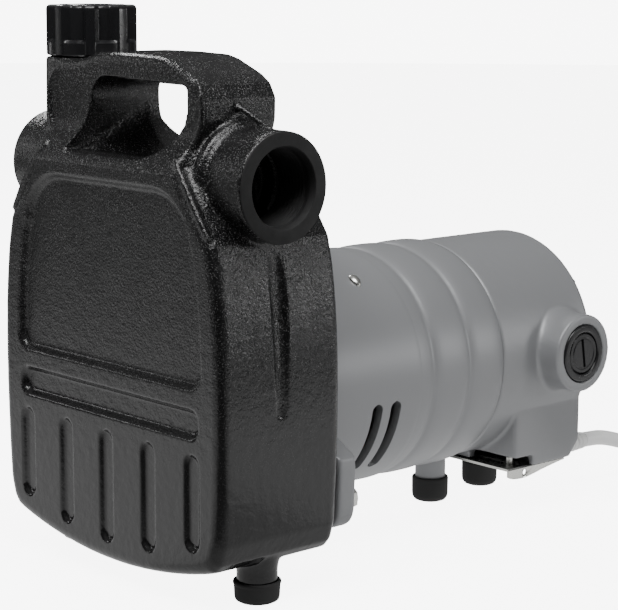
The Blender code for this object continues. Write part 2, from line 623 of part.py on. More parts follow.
def make_motor_inside(frame):
    """Fixed field with its two coils, the turning armature, the fan, the shaft and its bearings."""
    centre = (0, 0, AXIS_Z)
    stack_front, stack_back = 148 * MM, 204 * MM
    stator = solid_from(
        "field_core", ring(CORE_RADIUS + 1 * MM, 54.5 * MM, stack_front, stack_back, "Y", centre, 36), frame,
        "lamination",
    )
    for side, label in ((-1, "lower"), (1, "upper")):
        window_low, window_high = sorted((AXIS_Z + side * 22 * MM, AXIS_Z + side * 44 * MM))
        window = box((-20 * MM, 140 * MM, window_low), (20 * MM, 210 * MM, window_high))
        cut(stator, window, f"window_{label}")
        low, high = sorted((AXIS_Z + side * 29.5 * MM, AXIS_Z + side * 43 * MM))
        coil = box((-19 * MM, 139 * MM, low), (19 * MM, 213 * MM, high))
        coil = solid_from(f"field_coil_{label}", coil, frame, "copper")
        round_edges(coil, 4 * MM, 2)
    around = SHAFT_RADIUS + GAP
    core = ring(around, CORE_RADIUS, stack_front + 1 * MM, stack_back - 1 * MM, "Y", centre, 36)
    solid_from("armature_core", core, frame, "lamination", centre)
    front = [(around, 136 * MM), (20 * MM, 136 * MM), (24 * MM, 140 * MM), (24.5 * MM, 148.6 * MM)]
    front += [(around, 148.6 * MM)]
    solid_from("armature_winding_front", turned(front, "Y", centre), frame, "copper", centre)
    rear = [(around, 203.4 * MM), (24.5 * MM, 203.4 * MM), (24 * MM, 214 * MM), (17 * MM, 226 * MM)]
    rear += [(14 * MM, 240 * MM), (around, 240 * MM)]
    solid_from("armature_winding_rear", turned(rear, "Y", centre), frame, "copper", centre)
    bars = ring(around, COMMUTATOR_RADIUS, 240.4 * MM, 265.5 * MM, "Y", centre, 36)
    solid_from("commutator", bars, frame, "copper", centre)
    shaft = [(0, 39 * MM), (3.8 * MM, 39 * MM), (3.8 * MM, 58.7 * MM), (SHAFT_RADIUS, 58.7 * MM)]
    shaft += [(SHAFT_RADIUS, 275 * MM), (0, 275 * MM)]
    solid_from("motor_shaft", turned(shaft, "Y", centre), frame, "steel", centre)
    front_bearing = ring(SHAFT_RADIUS + GAP, 11 * MM, 86.3 * MM, 94 * MM, "Y", centre)
    solid_from("front_bearing", front_bearing, frame, "steel")
    rear_bearing = ring(SHAFT_RADIUS + GAP, 11 * MM, 268 * MM, 275.4 * MM, "Y", centre)
    solid_from("rear_bearing", rear_bearing, frame, "steel")
    make_fan(frame, centre)


def make_fan(frame, centre):
    """Cooling fan: a hub and a disc with eight straight blades behind it."""
    disc = [(SHAFT_RADIUS + GAP, 106 * MM), (12 * MM, 106 * MM), (12 * MM, 112 * MM), (44 * MM, 112 * MM)]
    disc += [(44 * MM, 114 * MM), (12 * MM, 114 * MM), (12 * MM, 132 * MM), (SHAFT_RADIUS + GAP, 132 * MM)]
    fan = solid_from("cooling_fan", turned(disc, "Y", centre, 32), frame, "gloss_black", centre)
    blades = 8
    for index in range(blades):
        turn = Matrix.Rotation(2 * math.pi * index / blades, 3, "Y")
        blade = box((14 * MM, 113.5 * MM, -0.8 * MM), (43 * MM, 130 * MM, 0.8 * MM))
        bmesh.ops.rotate(blade, verts=blade.verts, matrix=turn)
        bmesh.ops.translate(blade, verts=blade.verts, vec=(0, 0, AXIS_Z))
        fuse(fan, blade, f"blade_{index + 1}")


def make_brush_sets(frame):
    """On each side: an insulated holder, the carbon brush in it, its spring and the slotted screw cap."""
    for side, label in ((-1, "left"), (1, "right")):
        centre = (0, BRUSH_Y, BRUSH_Z)
        face = BRUSH_BOSS_FACE + 0.4 * MM
        profile = [(0, side * 18.5 * MM), (9.9 * MM, side * 18.5 * MM), (9.9 * MM, side * 66.4 * MM)]
        profile += [(15 * MM, side * 66.4 * MM), (15 * MM, side * face), (11.1 * MM, side * face)]
        profile += [(11.1 * MM, side * 69.5 * MM), (7.4 * MM, side * 69.5 * MM), (7.4 * MM, side * 55.8 * MM)]
        profile += [(0, side * 55.8 * MM)]
        holder = solid_from(f"brush_holder_{label}", turned(profile, "X", centre), frame, "gloss_black")
        half_y, half_z = 4.3 * MM, 3.3 * MM
        low_x, high_x = sorted((side * 10 * MM, side * 58 * MM))
        channel = box((low_x, BRUSH_Y - half_y, BRUSH_Z - half_z), (high_x, BRUSH_Y + half_y, BRUSH_Z + half_z))
        cut(holder, channel, "channel")

        tip, tail = 16.6 * MM, 33 * MM
        low_x, high_x = sorted((side * tip, side * tail))
        block = box((low_x, BRUSH_Y - 4 * MM, BRUSH_Z - 3 * MM), (high_x, BRUSH_Y + 4 * MM, BRUSH_Z + 3 * MM))
        solid_from(f"carbon_brush_{label}", block, frame, "carbon", (side * tip, BRUSH_Y, BRUSH_Z))
        low_x, high_x = sorted((side * (tail + GAP), side * 55.6 * MM))
        spring = ring(1.6 * MM, 2.8 * MM, low_x, high_x, "X", centre, 20)
        spring_end = (side * 55.6 * MM, BRUSH_Y, BRUSH_Z)
        solid_from(f"brush_spring_{label}", spring, frame, "steel", spring_end)

        outer = BRUSH_BOSS_FACE - 0.2 * MM
        cap = [(0, side * 56 * MM), (7 * MM, side * 56 * MM), (7 * MM, side * 69.8 * MM)]
        cap += [(10.6 * MM, side * 69.8 * MM), (10.6 * MM, side * (outer - 0.5 * MM))]
        cap += [(10.1 * MM, side * outer), (0, side * outer)]
        cap = solid_from(f"brush_cap_{label}", turned(cap, "X", centre), frame, "gloss_black", centre)
        low_x, high_x = sorted((side * (outer - 1.2 * MM), side * (outer + 2 * MM)))
        slot = box((low_x, BRUSH_Y - 1 * MM, BRUSH_Z - 7.5 * MM), (high_x, BRUSH_Y + 1 * MM, BRUSH_Z + 7.5 * MM))
        cut(cap, slot, "slot")


def make_terminal_cover(frame):
    """Sheet plate under the terminal box, with a side tab that is bent down, and its two screws."""
    top = BOX_BOTTOM - GAP
    bottom = top - 1.5 * MM
    plate = box((-45.5 * MM, BOX_FRONT, bottom), (45.5 * MM, 272 * MM, top))
    cover = solid_from("terminal_cover", plate, frame, "grey_enamel")
    plan = [(44 * MM, 229 * MM), (47 * MM, 229 * MM), (52 * MM, 236 * MM), (53.5 * MM, 246 * MM)]
    plan += [(51 * MM, 257 * MM), (46.5 * MM, 268 * MM), (44 * MM, 269 * MM)]
    slope = 0.62
    sheets = []
    for level in (bottom, top):
        sheets.append([(x, y, level - slope * max(x - 45 * MM, 0)) for x, y in plan])
    fuse(cover, loft(sheets), "tab")
    cut(cover, rod(2.2 * MM, 10 * MM, 30 * MM, "Z", (49.3 * MM, 246 * MM, 0), 16), "tab_hole")
    for index, (x, y) in enumerate(((38.5 * MM, 237 * MM), (-38.5 * MM, 262 * MM))):
        cut(cover, rod(2.3 * MM, 10 * MM, 30 * MM, "Z", (x, y, 0), 12), f"screw_hole_{index + 1}")
        screw = [(0, bottom - 2.4 * MM), (3 * MM, bottom - 2.4 * MM), (3.8 * MM, bottom - GAP)]
        screw += [(2 * MM, bottom - GAP), (2 * MM, top + 4 * MM), (0, top + 5.5 * MM)]
        solid_from(f"cover_screw_{index + 1}", turned(screw, "Z", (x, y, 0), 12), frame, "zinc")


def make_through_bolts(frame):
    """Two long bolts that hold the end bell to the adapter, with their heads on the rear face."""
    for side, label in ((-1, "left"), (1, "right")):
        place = (side * 38 * MM, 0, AXIS_Z + side * 32 * MM)
        cut(bpy.data.objects["end_bell"], rod(2.8 * MM, 270 * MM, 290 * MM, "Y", place, 12), f"bolt_hole_{label}")
        cut(bpy.data.objects["field_core"], rod(2.9 * MM, 140 * MM, 210 * MM, "Y", place, 12), f"bolt_hole_{label}")
        cut(bpy.data.objects["motor_adapter"], rod(2.8 * MM, 78 * MM, 95 * MM, "Y", place, 12), f"bolt_hole_{label}")
        shank = solid_from(f"through_bolt_{label}", rod(2.5 * MM, 79 * MM, 283 * MM, "Y", place, 12), frame, "zinc")
        head = rod(4.6 * MM, LENGTH + GAP, LENGTH + BOLT_HEAD, "Y", place, 6)
        fuse(shank, head, "head")


def make_feet(frame):
    """Rubber cups on the casing's stems, and two legs with rubber cups under the motor."""
    for side, label in ((-1, "left"), (1, "right")):
        centre = (side * CASING_FOOT_X, CASING_FOOT_Y, 0)
        cup = rubber_cup(CASING_FOOT_RADIUS, CASING_STEM_RADIUS, CASING_RUBBER_HEIGHT)
        solid_from(f"casing_foot_{label}", turned(cup, "Z", centre), frame, "rubber")
    leg_tops = {"front": 25.8 * MM, "rear": BOX_BOTTOM - 1.5 * MM - 2 * GAP}
    for label, (x, y) in MOTOR_FEET.items():
        cup = rubber_cup(MOTOR_FOOT_RADIUS, MOTOR_LEG_RADIUS, MOTOR_RUBBER_HEIGHT)
        solid_from(f"motor_foot_{label}", turned(cup, "Z", (x, y, 0)), frame, "rubber")
        leg = rod(MOTOR_LEG_RADIUS, 3 * MM + GAP, leg_tops[label], "Z", (x, y, 0))
        solid_from(f"motor_leg_{label}", leg, frame, "grey_enamel")


def rubber_cup(outer, stem, height):
    """Profile of a cup with a rounded bottom rim, open at the top for its stem."""
    inner = stem + GAP
    return [
        (0, 0),
        (outer - 2.5 * MM, 0),
        (outer - 0.7 * MM, 0.8 * MM),
        (outer, 2.6 * MM),
        (outer, height),
        (inner, height),
        (inner, 3 * MM),
        (0, 3 * MM),
    ]


def smooth_route(points, spacing):
    """Points at about this spacing on a Catmull-Rom curve through the route."""
    route = [Vector(point) for point in points]
    padded = [2 * route[0] - route[1]] + route + [2 * route[-1] - route[-2]]
    curve = []
    for p0, p1, p2, p3 in zip(padded, padded[1:], padded[2:], padded[3:]):
        steps = max(1, round((p2 - p1).length / spacing))
        for i in range(steps):
            t = i / steps
            a = 2 * p1
            b = (p2 - p0) * t
            c = (2 * p0 - 5 * p1 + 4 * p2 - p3) * t**2
            d = (3 * p1 - p0 - 3 * p2 + p3) * t**3
            curve.append((a + b + c + d) / 2)
    return curve + [route[-1]]


def make_cord(frame):
    """Strain relief, the cord's free stretch, the coil that holds the rest of its length, and the plug."""
    exit_centre = (CORD_EXIT.x, 0, CORD_EXIT.z)
    relief = [(0, 277.5 * MM), (4.9 * MM, 277.5 * MM), (4.9 * MM, 280 * MM + GAP), (6.6 * MM, 280 * MM + GAP)]
    relief += [(6.6 * MM, 283 * MM), (5.2 * MM, 285 * MM), (4.6 * MM, 300 * MM), (0, 300 * MM)]
    relief = solid_from("cord_strain_relief", turned(relief, "Y", exit_centre, 24), frame, "cord_grey")

    points = smooth_route(CORD_ROUTE, 2.4 * CORD_RADIUS * 2)
    curve = bpy.data.curves.new("power_cord", "CURVE")
    curve.dimensions = "3D"
    curve.bevel_depth = CORD_RADIUS
    curve.bevel_resolution = 3
    curve.use_fill_caps = True
    spline = curve.splines.new("POLY")
    spline.points.add(len(points) - 1)
    for spot, point in zip(spline.points, points):
        spot.co = (*point, 1)
    add_object("power_cord", curve, frame, "cord_grey")

    middle_z = COIL_BUNDLE * math.cos(math.pi / 8)
    profile = []
    for i in range(8):
        angle = 2 * math.pi * (i + 0.5) / 8
        profile.append((COIL_RADIUS + COIL_BUNDLE * math.cos(angle), middle_z + COIL_BUNDLE * math.sin(angle)))
    coil = turned(profile, "Z", (*COIL_CENTRE, 0), 28)
    solid_from("cord_coil", coil, frame, "cord_grey")
    make_plug(frame)


def make_plug(frame):
    """Grounded three-blade plug lying beside the coil."""
    back = COIL_CENTRE[1] - 65 * MM
    x = COIL_CENTRE[0] + COIL_RADIUS + COIL_BUNDLE - 13 * MM
    z = 12.6 * MM
    sections = []
    for y, half_x, half_z in ((0, 5.5, 5.5), (12, 8, 7), (20, 12, 11.5), (34, 13, 12.5), (38, 12.5, 12)):
        outline = rounded_rect(-half_x * MM, half_x * MM, -half_z * MM, half_z * MM, (half_z * 0.5 * MM,) * 4, 3)
        sections.append([(x + dx, back - y * MM, z + dz) for dx, dz in outline])
    plug = solid_from("cord_plug", loft(sections), frame, "cord_grey")
    face = back - 37 * MM
    for label, side in (("left", -1), ("right", 1)):
        low_x = x + side * 6.35 * MM - 0.75 * MM
        blade = box((low_x, face - 17 * MM, z + 1 * MM), (low_x + 1.5 * MM, face, z + 7.3 * MM))
        fuse(plug, blade, f"blade_{label}")
    fuse(plug, rod(2.4 * MM, face - 19 * MM, face, "Y", (x, 0, z - 6 * MM), 12), "ground_pin")


def main():
    for old in list(bpy.data.objects):
        bpy.data.objects.remove(old)
    frame = bpy.data.objects.new("pump_frame", None)
    bpy.context.scene.collection.objects.link(frame)
    frame.location = (0, -(LENGTH + BOLT_HEAD) / 2, 0)
    make_casing(frame)
    make_priming_cap(frame)
    make_check_valve(frame)
    make_jet(frame)
    make_impeller(frame)
    make_shaft_seal(frame)
    make_adapter(frame)
    make_motor_shell(frame)
    make_end_bell(frame)
    make_motor_inside(frame)
    make_brush_sets(frame)
    make_terminal_cover(frame)
    make_through_bolts(frame)
    make_feet(frame)
    make_cord(frame)


main()
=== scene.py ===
import math

import bmesh
import bpy
from mathutils import Matrix, Vector


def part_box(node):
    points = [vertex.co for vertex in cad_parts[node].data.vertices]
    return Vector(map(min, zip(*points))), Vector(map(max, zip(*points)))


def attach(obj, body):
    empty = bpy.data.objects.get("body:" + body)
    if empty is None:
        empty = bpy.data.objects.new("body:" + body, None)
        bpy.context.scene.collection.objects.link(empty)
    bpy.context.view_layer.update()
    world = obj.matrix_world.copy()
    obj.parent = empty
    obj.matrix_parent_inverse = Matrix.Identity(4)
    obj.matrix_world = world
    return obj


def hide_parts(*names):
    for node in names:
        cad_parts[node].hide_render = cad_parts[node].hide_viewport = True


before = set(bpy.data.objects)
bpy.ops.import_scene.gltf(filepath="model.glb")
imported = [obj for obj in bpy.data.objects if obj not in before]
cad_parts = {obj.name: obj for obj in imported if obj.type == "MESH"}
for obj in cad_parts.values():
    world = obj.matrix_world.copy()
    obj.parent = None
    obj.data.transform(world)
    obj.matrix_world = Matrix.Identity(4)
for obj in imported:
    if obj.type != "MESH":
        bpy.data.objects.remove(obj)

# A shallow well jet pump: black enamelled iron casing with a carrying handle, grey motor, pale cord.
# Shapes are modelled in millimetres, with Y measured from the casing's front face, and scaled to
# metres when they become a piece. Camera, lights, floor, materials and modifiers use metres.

MM = 0.001
PLACE = Vector((0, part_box("pump_casing")[0].y, 0))
FINE = 0.8 * MM
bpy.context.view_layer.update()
SIDES = ((-1, "left"), (1, "right"))

GAP = 0.3
PORT_Y = 34.5
PORT_Z = 191.3
PORT_AXIS = (0, PORT_Y, PORT_Z)
PORT_FACE_X = 87.35
NECK_X = -54.2
NECK_AXIS = (NECK_X, PORT_Y, 0)
NECK_TOP = 243.5
FOOT_X = 68
AXIS_Z = 85
AXIS = (0, 0, AXIS_Z)
ADAPTER_BACK = 85
LENGTH = 280
BRUSH_Y = 256.5
BRUSH_Z = 87.1
BRUSH_AXIS = (0, BRUSH_Y, BRUSH_Z)
BOX_BOTTOM = 25
CORD_RADIUS = 4.2
CORD_AXIS = (35, 0, 27)
ADAPTER_BOLTS = ((54.2, 133.8), (-54.2, 133.8), (71.5, 40), (-71.5, 40))
COVER_SCREWS = ((38.5, 237), (-38.5, 262))
WHITE = 8.0


def through_bolt_place(side):
    return side * 38, 0, AXIS_Z + side * 32


# -------------------- nodes

def add_node(tree, kind, inputs=None, **settings):
    """A new node. inputs holds a value, or the output that feeds it, for each socket."""
    node = tree.nodes.new(kind)
    for name, value in settings.items():
        setattr(node, name, value)
    for socket, value in (inputs or {}).items():
        if isinstance(value, bpy.types.NodeSocket):
            tree.links.new(value, node.inputs[socket])
        else:
            node.inputs[socket].default_value = value
    return node


def add_ramp(tree, source, *stops):
    node = add_node(tree, "ShaderNodeValToRGB", {"Fac": source})
    for element, (position, colour) in zip(node.color_ramp.elements, stops):
        element.position = position
        element.color = (*colour, 1)
    return node.outputs["Color"]


def add_range(tree, source, start, end, first=0, last=1, curve="LINEAR"):
    inputs = {"Value": source, "From Min": start, "From Max": end, "To Min": first, "To Max": last}
    return add_node(tree, "ShaderNodeMapRange", inputs, interpolation_type=curve).outputs["Result"]


def add_math(tree, operation, *sources):
    inputs = dict(enumerate(sources))
    return add_node(tree, "ShaderNodeMath", inputs, operation=operation).outputs["Value"]


def add_choice(tree, elsewhere, seen):
    """One shader for what the camera sees directly, another for light and reflections."""
    path = add_node(tree, "ShaderNodeLightPath").outputs["Is Camera Ray"]
    return add_node(tree, "ShaderNodeMixShader", {"Fac": path, 1: elsewhere, 2: seen}).outputs[0]


# -------------------- camera, light and floor

def make_camera():
    camera = bpy.data.objects.new("camera", bpy.data.cameras.new("camera"))
    bpy.context.scene.collection.objects.link(camera)
    azimuth, elevation, roll = (math.radians(angle) for angle in (48.2, 9.69, 0.187))
    turn = Matrix.Rotation(azimuth, 4, "Z") @ Matrix.Rotation(math.pi / 2 - elevation, 4, "X")
    turn = turn @ Matrix.Rotation(roll, 4, "Z")
    camera.matrix_world = Matrix.Translation((0.7278, -0.6664, 0.2862)) @ turn
    camera.data.sensor_fit = "HORIZONTAL"
    camera.data.sensor_width = 36
    camera.data.lens = 114.43
    camera.data.shift_x = 0.00276
    camera.data.shift_y = -0.00418
    camera.data.clip_start = 0.01
    bpy.context.scene.camera = camera


def area_light(name, azimuth, elevation, size, power):
    """A soft light that looks at the pump's middle. Azimuth 0 stands on the -Y side, 90 on +X."""
    data = bpy.data.lights.new(name, "AREA")
    data.shape = "RECTANGLE"
    data.size, data.size_y = size
    data.energy = power
    light = bpy.data.objects.new(name, data)
    bpy.context.scene.collection.objects.link(light)
    turn, lift = math.radians(azimuth), math.radians(elevation)
    target, distance = Vector((0, 0, 0.12)), 1.5
    away = Vector((math.sin(turn) * math.cos(lift), -math.cos(turn) * math.cos(lift), math.sin(lift)))
    light.location = target + distance * away
    light.rotation_euler = away.to_track_quat("Z", "Y").to_euler()


def make_studio():
    """White surroundings for the eye, a room that is dark at eye level for reflections, and soft lights."""
    world = bpy.data.worlds.new("studio")
    bpy.context.scene.world = world
    world.use_nodes = True
    tree = world.node_tree
    tree.nodes.clear()
    seen = add_node(tree, "ShaderNodeBackground", {"Color": (1, 1, 1, 1), "Strength": WHITE})
    direction = add_node(tree, "ShaderNodeTexCoord").outputs["Generated"]
    height = add_node(tree, "ShaderNodeSeparateXYZ", {0: direction}).outputs["Z"]
    shade = add_ramp(tree, height, (0.1, (0.02, 0.02, 0.02)), (1.0, (0.34, 0.34, 0.34)))
    room = add_node(tree, "ShaderNodeBackground", {"Color": shade, "Strength": 1.0})
    choice = add_choice(tree, room.outputs[0], seen.outputs[0])
    add_node(tree, "ShaderNodeOutputWorld", {"Surface": choice})

    area_light("top_light", 60, 66, (0.9, 0.7), 20.6)
    area_light("side_light", 131, 9, (0.3, 0.25), 3.4)
    area_light("front_light", -58, 18, (0.3, 0.2), 0.8)
    area_light("back_light", -105, 38, (0.35, 0.25), 6)
    for azimuth in (-41, -84, 158):
        area_light(f"strip_light_{azimuth}", azimuth, 6, (0.16, 0.45), 0.4)
    area_light("edge_light", 8, 54, (0.4, 0.3), 10)

    floor = bpy.data.objects.new("floor", bpy.data.meshes.new("floor"))
    bpy.context.scene.collection.objects.link(floor)
    shape = bmesh.new()
    bmesh.ops.create_circle(shape, cap_ends=True, segments=96, radius=5)
    shape.to_mesh(floor.data)
    shape.free()
    floor.data.materials.append(floor_white())


def floor_white():
    """White for the eye. In reflections it glows on the left front and the right rear, like two cards,
    and fades outwards."""
    made = bpy.data.materials.new("floor_white")
    made.use_nodes = True
    tree = made.node_tree
    seen = tree.nodes["Principled BSDF"]
    seen.inputs["Base Color"].default_value = (0.8, 0.8, 0.8, 1)
    seen.inputs["Roughness"].default_value = 0.7
    seen.inputs["Emission Color"].default_value = (1, 1, 1, 1)
    seen.inputs["Emission Strength"].default_value = 0.85 * WHITE
    place = add_node(tree, "ShaderNodeTexCoord").outputs["Object"]

    def vector_math(operation, *sources):
        return add_node(tree, "ShaderNodeVectorMath", dict(enumerate(sources)), operation=operation).outputs

    outwards = vector_math("NORMALIZE", place)["Vector"]
    along_cards = vector_math("DOT_PRODUCT", outwards, (0.743, 0.669, 0))["Value"]
    lobes = add_range(tree, add_math(tree, "ABSOLUTE", along_cards), 0.25, 0.8, 0.12, 1, "SMOOTHSTEP")
    distance = vector_math("LENGTH", place)["Value"]
    outer = add_range(tree, distance, 0.3, 1.2, 1.15, 0.1, "SMOOTHSTEP")
    near = add_range(tree, distance, 0.12, 0.34, 0.8, 0, "SMOOTHSTEP")
    strength = add_math(tree, "MAXIMUM", add_math(tree, "MULTIPLY", lobes, outer), near)
    glow = add_node(tree, "ShaderNodeEmission", {"Strength": strength}).outputs["Emission"]
    choice = add_choice(tree, glow, seen.outputs["BSDF"])
    tree.links.new(choice, tree.nodes["Material Output"].inputs["Surface"])
    return made


# -------------------- materials

def surface(name, colour, roughness, metallic=0.0, grain=(800, 0.1), waves=(90, 0.1), tint=0.12,
            spread=0.1, stripes=None, painted_glints=None):
    """A Principled material. grain and waves are bumps, each (bumps per metre, height in mm);
    tint and spread are how much colour and roughness wander; stripes is (axis, bands per metre, mm);
    painted_glints is (low, high, shade): between these heights the grain grows to its full size, and its
    tops get specks of that lighter shade, painted glints of light on the grain, more of them higher up."""
    made = bpy.data.materials.get(name)
    if made:
        return made
    made = bpy.data.materials.new(name)
    made.use_nodes = True
    tree = made.node_tree
    shader = tree.nodes["Principled BSDF"]
    shader.inputs["Metallic"].default_value = metallic
    place = add_node(tree, "ShaderNodeTexCoord").outputs["Object"]

    def noise_at(scale, detail, fineness=0.55):
        inputs = {"Vector": place, "Scale": scale, "Detail": detail, "Roughness": fineness}
        return add_node(tree, "ShaderNodeTexNoise", inputs).outputs["Fac"]

    darker = [channel * (1 - tint) for channel in colour]
    lighter = [min(1, channel * (1 + tint)) for channel in colour]
    paint = add_ramp(tree, noise_at(34, 5), (0.3, darker), (0.72, lighter))
    # Lighter specks on the grain tops are painted glints: light caught by the grain, painted into the
    # colour, more of them higher up.
    grain_and_glint_rise = 1.0
    if painted_glints:
        low, high, shade = painted_glints
        rise = add_node(tree, "ShaderNodeSeparateXYZ", {0: place}).outputs["Z"]
        grain_and_glint_rise = add_range(tree, rise, low, high, 0.12)
        glint_tops = add_range(tree, noise_at(1.8 * grain[0], 2), 0.56, 0.78)
        glint_patches = add_range(tree, noise_at(60, 2), 0.35, 0.65, 0.45)
        share = add_math(tree, "MULTIPLY", add_math(tree, "MULTIPLY", glint_tops, grain_and_glint_rise), glint_patches)
        inputs = {"Factor": share, "A": paint, "B": (shade, shade, shade, 1)}
        paint = add_node(tree, "ShaderNodeMix", inputs, data_type="RGBA").outputs["Result"]
    tree.links.new(paint, shader.inputs["Base Color"])
    smoother, rougher = roughness * (1 - spread), min(1, roughness * (1 + spread))
    wander = add_range(tree, noise_at(120, 3), 0.3, 0.7, smoother, rougher)
    tree.links.new(wander, shader.inputs["Roughness"])

    bumps = [(noise_at(waves[0], 2), waves[1], 1.0), (noise_at(grain[0], 3, 0.6), grain[1], grain_and_glint_rise)]
    if stripes:
        axis, scale, size = stripes
        inputs = {"Vector": place, "Scale": scale}
        bands = add_node(tree, "ShaderNodeTexWave", inputs, bands_direction=axis)
        bumps.append((bands.outputs["Fac"], size, 1.0))
    normal = None
    for height, size, strength in bumps:
        inputs = {"Height": height, "Distance": size * MM, "Strength": strength}
        if normal:
            inputs["Normal"] = normal
        normal = add_node(tree, "ShaderNodeBump", inputs).outputs["Normal"]
    tree.links.new(normal, shader.inputs["Normal"])
    return made


def cast_black():
    # The grain's lighter tops are painted glints, growing in from 60 mm and full at 170 mm up.
    return surface("cast_black", (0.006, 0.006, 0.0062), 0.13, grain=(820, 0.45), waves=(260, 0.2),
                   tint=0.3, spread=0.2, painted_glints=(60 * MM, 170 * MM, 0.24))


def machined_black():
    return surface("machined_black", (0.003, 0.003, 0.0032), 0.72, grain=(1500, 0.03), waves=(70, 0.08))


def gloss_black():
    return surface("gloss_black", (0.011, 0.011, 0.012), 0.26, grain=(700, 0.05), waves=(80, 0.1))


def dull_black():
    return surface("dull_black", (0.02, 0.02, 0.021), 0.45, grain=(900, 0.05), waves=(80, 0.05))


def grey_enamel():
    return surface("grey_enamel", (0.25, 0.25, 0.25), 0.2, grain=(800, 0.2), waves=(190, 0.1),
                   tint=0.06)


def rubber():
    return surface("rubber", (0.016, 0.016, 0.017), 0.62, grain=(1300, 0.06), waves=(60, 0.1), tint=0.25)


def zinc():
    return surface("zinc_plate", (0.63, 0.63, 0.6), 0.27, 1.0, grain=(900, 0.03), waves=(120, 0.03))


def steel():
    return surface("ground_steel", (0.5, 0.51, 0.52), 0.3, 1.0, grain=(900, 0.02), waves=(60, 0.01),
                   stripes=("Y", 500, 0.01))


def lamination():
    return surface("core_sheets", (0.27, 0.27, 0.28), 0.5, 0.8, grain=(900, 0.03), stripes=("Y", 300, 0.2))


def copper():
    return surface("enamelled_copper", (0.66, 0.26, 0.11), 0.32, 1.0, grain=(500, 0.1),
                   stripes=("X", 180, 0.5))


def brass():
    return surface("turned_brass", (0.72, 0.53, 0.24), 0.3, 1.0, grain=(900, 0.02), waves=(60, 0.02))


def carbon():
    return surface("pressed_carbon", (0.03, 0.03, 0.032), 0.55, grain=(1500, 0.08))


def cream():
    return surface("cream_plastic", (0.6, 0.56, 0.46), 0.42, grain=(900, 0.02), waves=(50, 0.08), tint=0.05)


def ceramic():
    return surface("polished_ceramic", (0.8, 0.78, 0.72), 0.2, grain=(900, 0.005), waves=(50, 0.01),
                   tint=0.03)


def gasket_paper():
    return surface("gasket_paper", (0.2, 0.19, 0.15), 0.85, grain=(1500, 0.12), tint=0.25)


def cord_vinyl():
    return surface("cord_vinyl", (0.78, 0.78, 0.775), 0.42, grain=(700, 0.03), waves=(60, 0.05), tint=0.03)


def plug_vinyl():
    return surface("plug_vinyl", (0.72, 0.72, 0.715), 0.46, grain=(1300, 0.06), waves=(60, 0.05), tint=0.04)


# -------------------- shapes

def loft(outlines):
    """A closed bmesh through outlines with equal point counts, capped at the first and the last."""
    shape = bmesh.new()
    rings = [[shape.verts.new(point) for point in outline] for outline in outlines]
    count = len(rings[0])
    for low, high in zip(rings, rings[1:]):
        for i in range(count):
            j = (i + 1) % count
            shape.faces.new((low[i], low[j], high[j], high[i]))
    shape.faces.new(rings[0])
    shape.faces.new(rings[-1])
    return shape


def stack(sections):
    """A closed bmesh through (outline, y) pairs, where an outline is (x, z) pairs."""
    return loft([[(x, y, z) for x, z in outline] for outline, y in sections])


def sided(side, profile):
    """The (radius, along) profile, turned round for the left side."""
    return [(radius, side * along) for radius, along in profile]


def box(low, high):
    (x0, y0, z0), (x1, y1, z1) = low, high
    corners = [(x0, y0), (x1, y0), (x1, y1), (x0, y1)]
    return loft([[(x, y, z) for x, y in corners] for z in (z0, z1)])


AXES = {
    "X": Matrix(((0, 0, 1), (1, 0, 0), (0, 1, 0))),
    "Y": Matrix(((1, 0, 0), (0, 0, 1), (0, -1, 0))),
    "Z": Matrix.Identity(3),
}


def turned(profile, axis, centre, segments=144):
    """A bmesh turned about axis. The profile is closed: (radius, along) pairs, where radius may be
    a function of the angle, for ribs and threads."""
    shape = bmesh.new()
    turn = AXES[axis]
    rings = []
    for radius, along in profile:
        on_axis = not callable(radius) and radius <= 0
        ring = []
        for i in range(1 if on_axis else segments):
            angle = 2 * math.pi * i / segments
            size = radius(angle) if callable(radius) else radius
            local = Vector((size * math.cos(angle), size * math.sin(angle), along))
            ring.append(shape.verts.new(Vector(centre) + turn @ local))
        rings.append(ring)
    for ring, following in zip(rings, rings[1:] + rings[:1]):
        if len(ring) == len(following) == 1:
            continue
        for i in range(segments):
            j = (i + 1) % segments
            corners = [ring[i % len(ring)], ring[j % len(ring)]]
            corners += [following[j % len(following)], following[i % len(following)]]
            shape.faces.new(list(dict.fromkeys(corners)))
    return shape


def softened(profile, radius, steps=4):
    """The profile with its corners rounded; corners on the axis and open ends stay."""
    soft = []
    for corner, before, after in zip(profile, profile[-1:] + profile[:-1], profile[1:] + profile[:1]):
        spot, start, end = Vector(corner), Vector(before), Vector(after)
        room = 0.45 * min((start - spot).length, (end - spot).length)
        reach = min(radius, room)
        if corner[0] <= 0 or reach <= 0:
            soft.append(corner)
            continue
        first = spot + (start - spot).normalized() * reach
        last = spot + (end - spot).normalized() * reach
        for step in range(steps + 1):
            t = step / steps
            soft.append((1 - t) ** 2 * first + 2 * t * (1 - t) * spot + t**2 * last)
    return soft


def rod(radius, start, end, axis, centre, segments=96, chamfer=0.0):
    low, high = sorted((start, end))
    profile = [(0, low), (radius, low), (radius, high), (0, high)]
    return turned(softened(profile, chamfer) if chamfer else profile, axis, centre, segments)


def rounded_rect(x0, x1, z0, z1, radii, steps=8):
    """Outline with its own radius at each corner: bottom right, top right, top left, bottom left."""
    corners = [(x1, z0, -90, (-1, 1)), (x1, z1, 0, (-1, -1)), (x0, z1, 90, (1, -1)), (x0, z0, 180, (1, 1))]
    outline = []
    for (x, z, first, inward), radius in zip(corners, radii):
        centre_x = x + inward[0] * radius
        centre_z = z + inward[1] * radius
        for i in range(steps + 1):
            angle = math.radians(first + 90 * i / steps)
            outline.append((centre_x + radius * math.cos(angle), centre_z + radius * math.sin(angle)))
    return outline


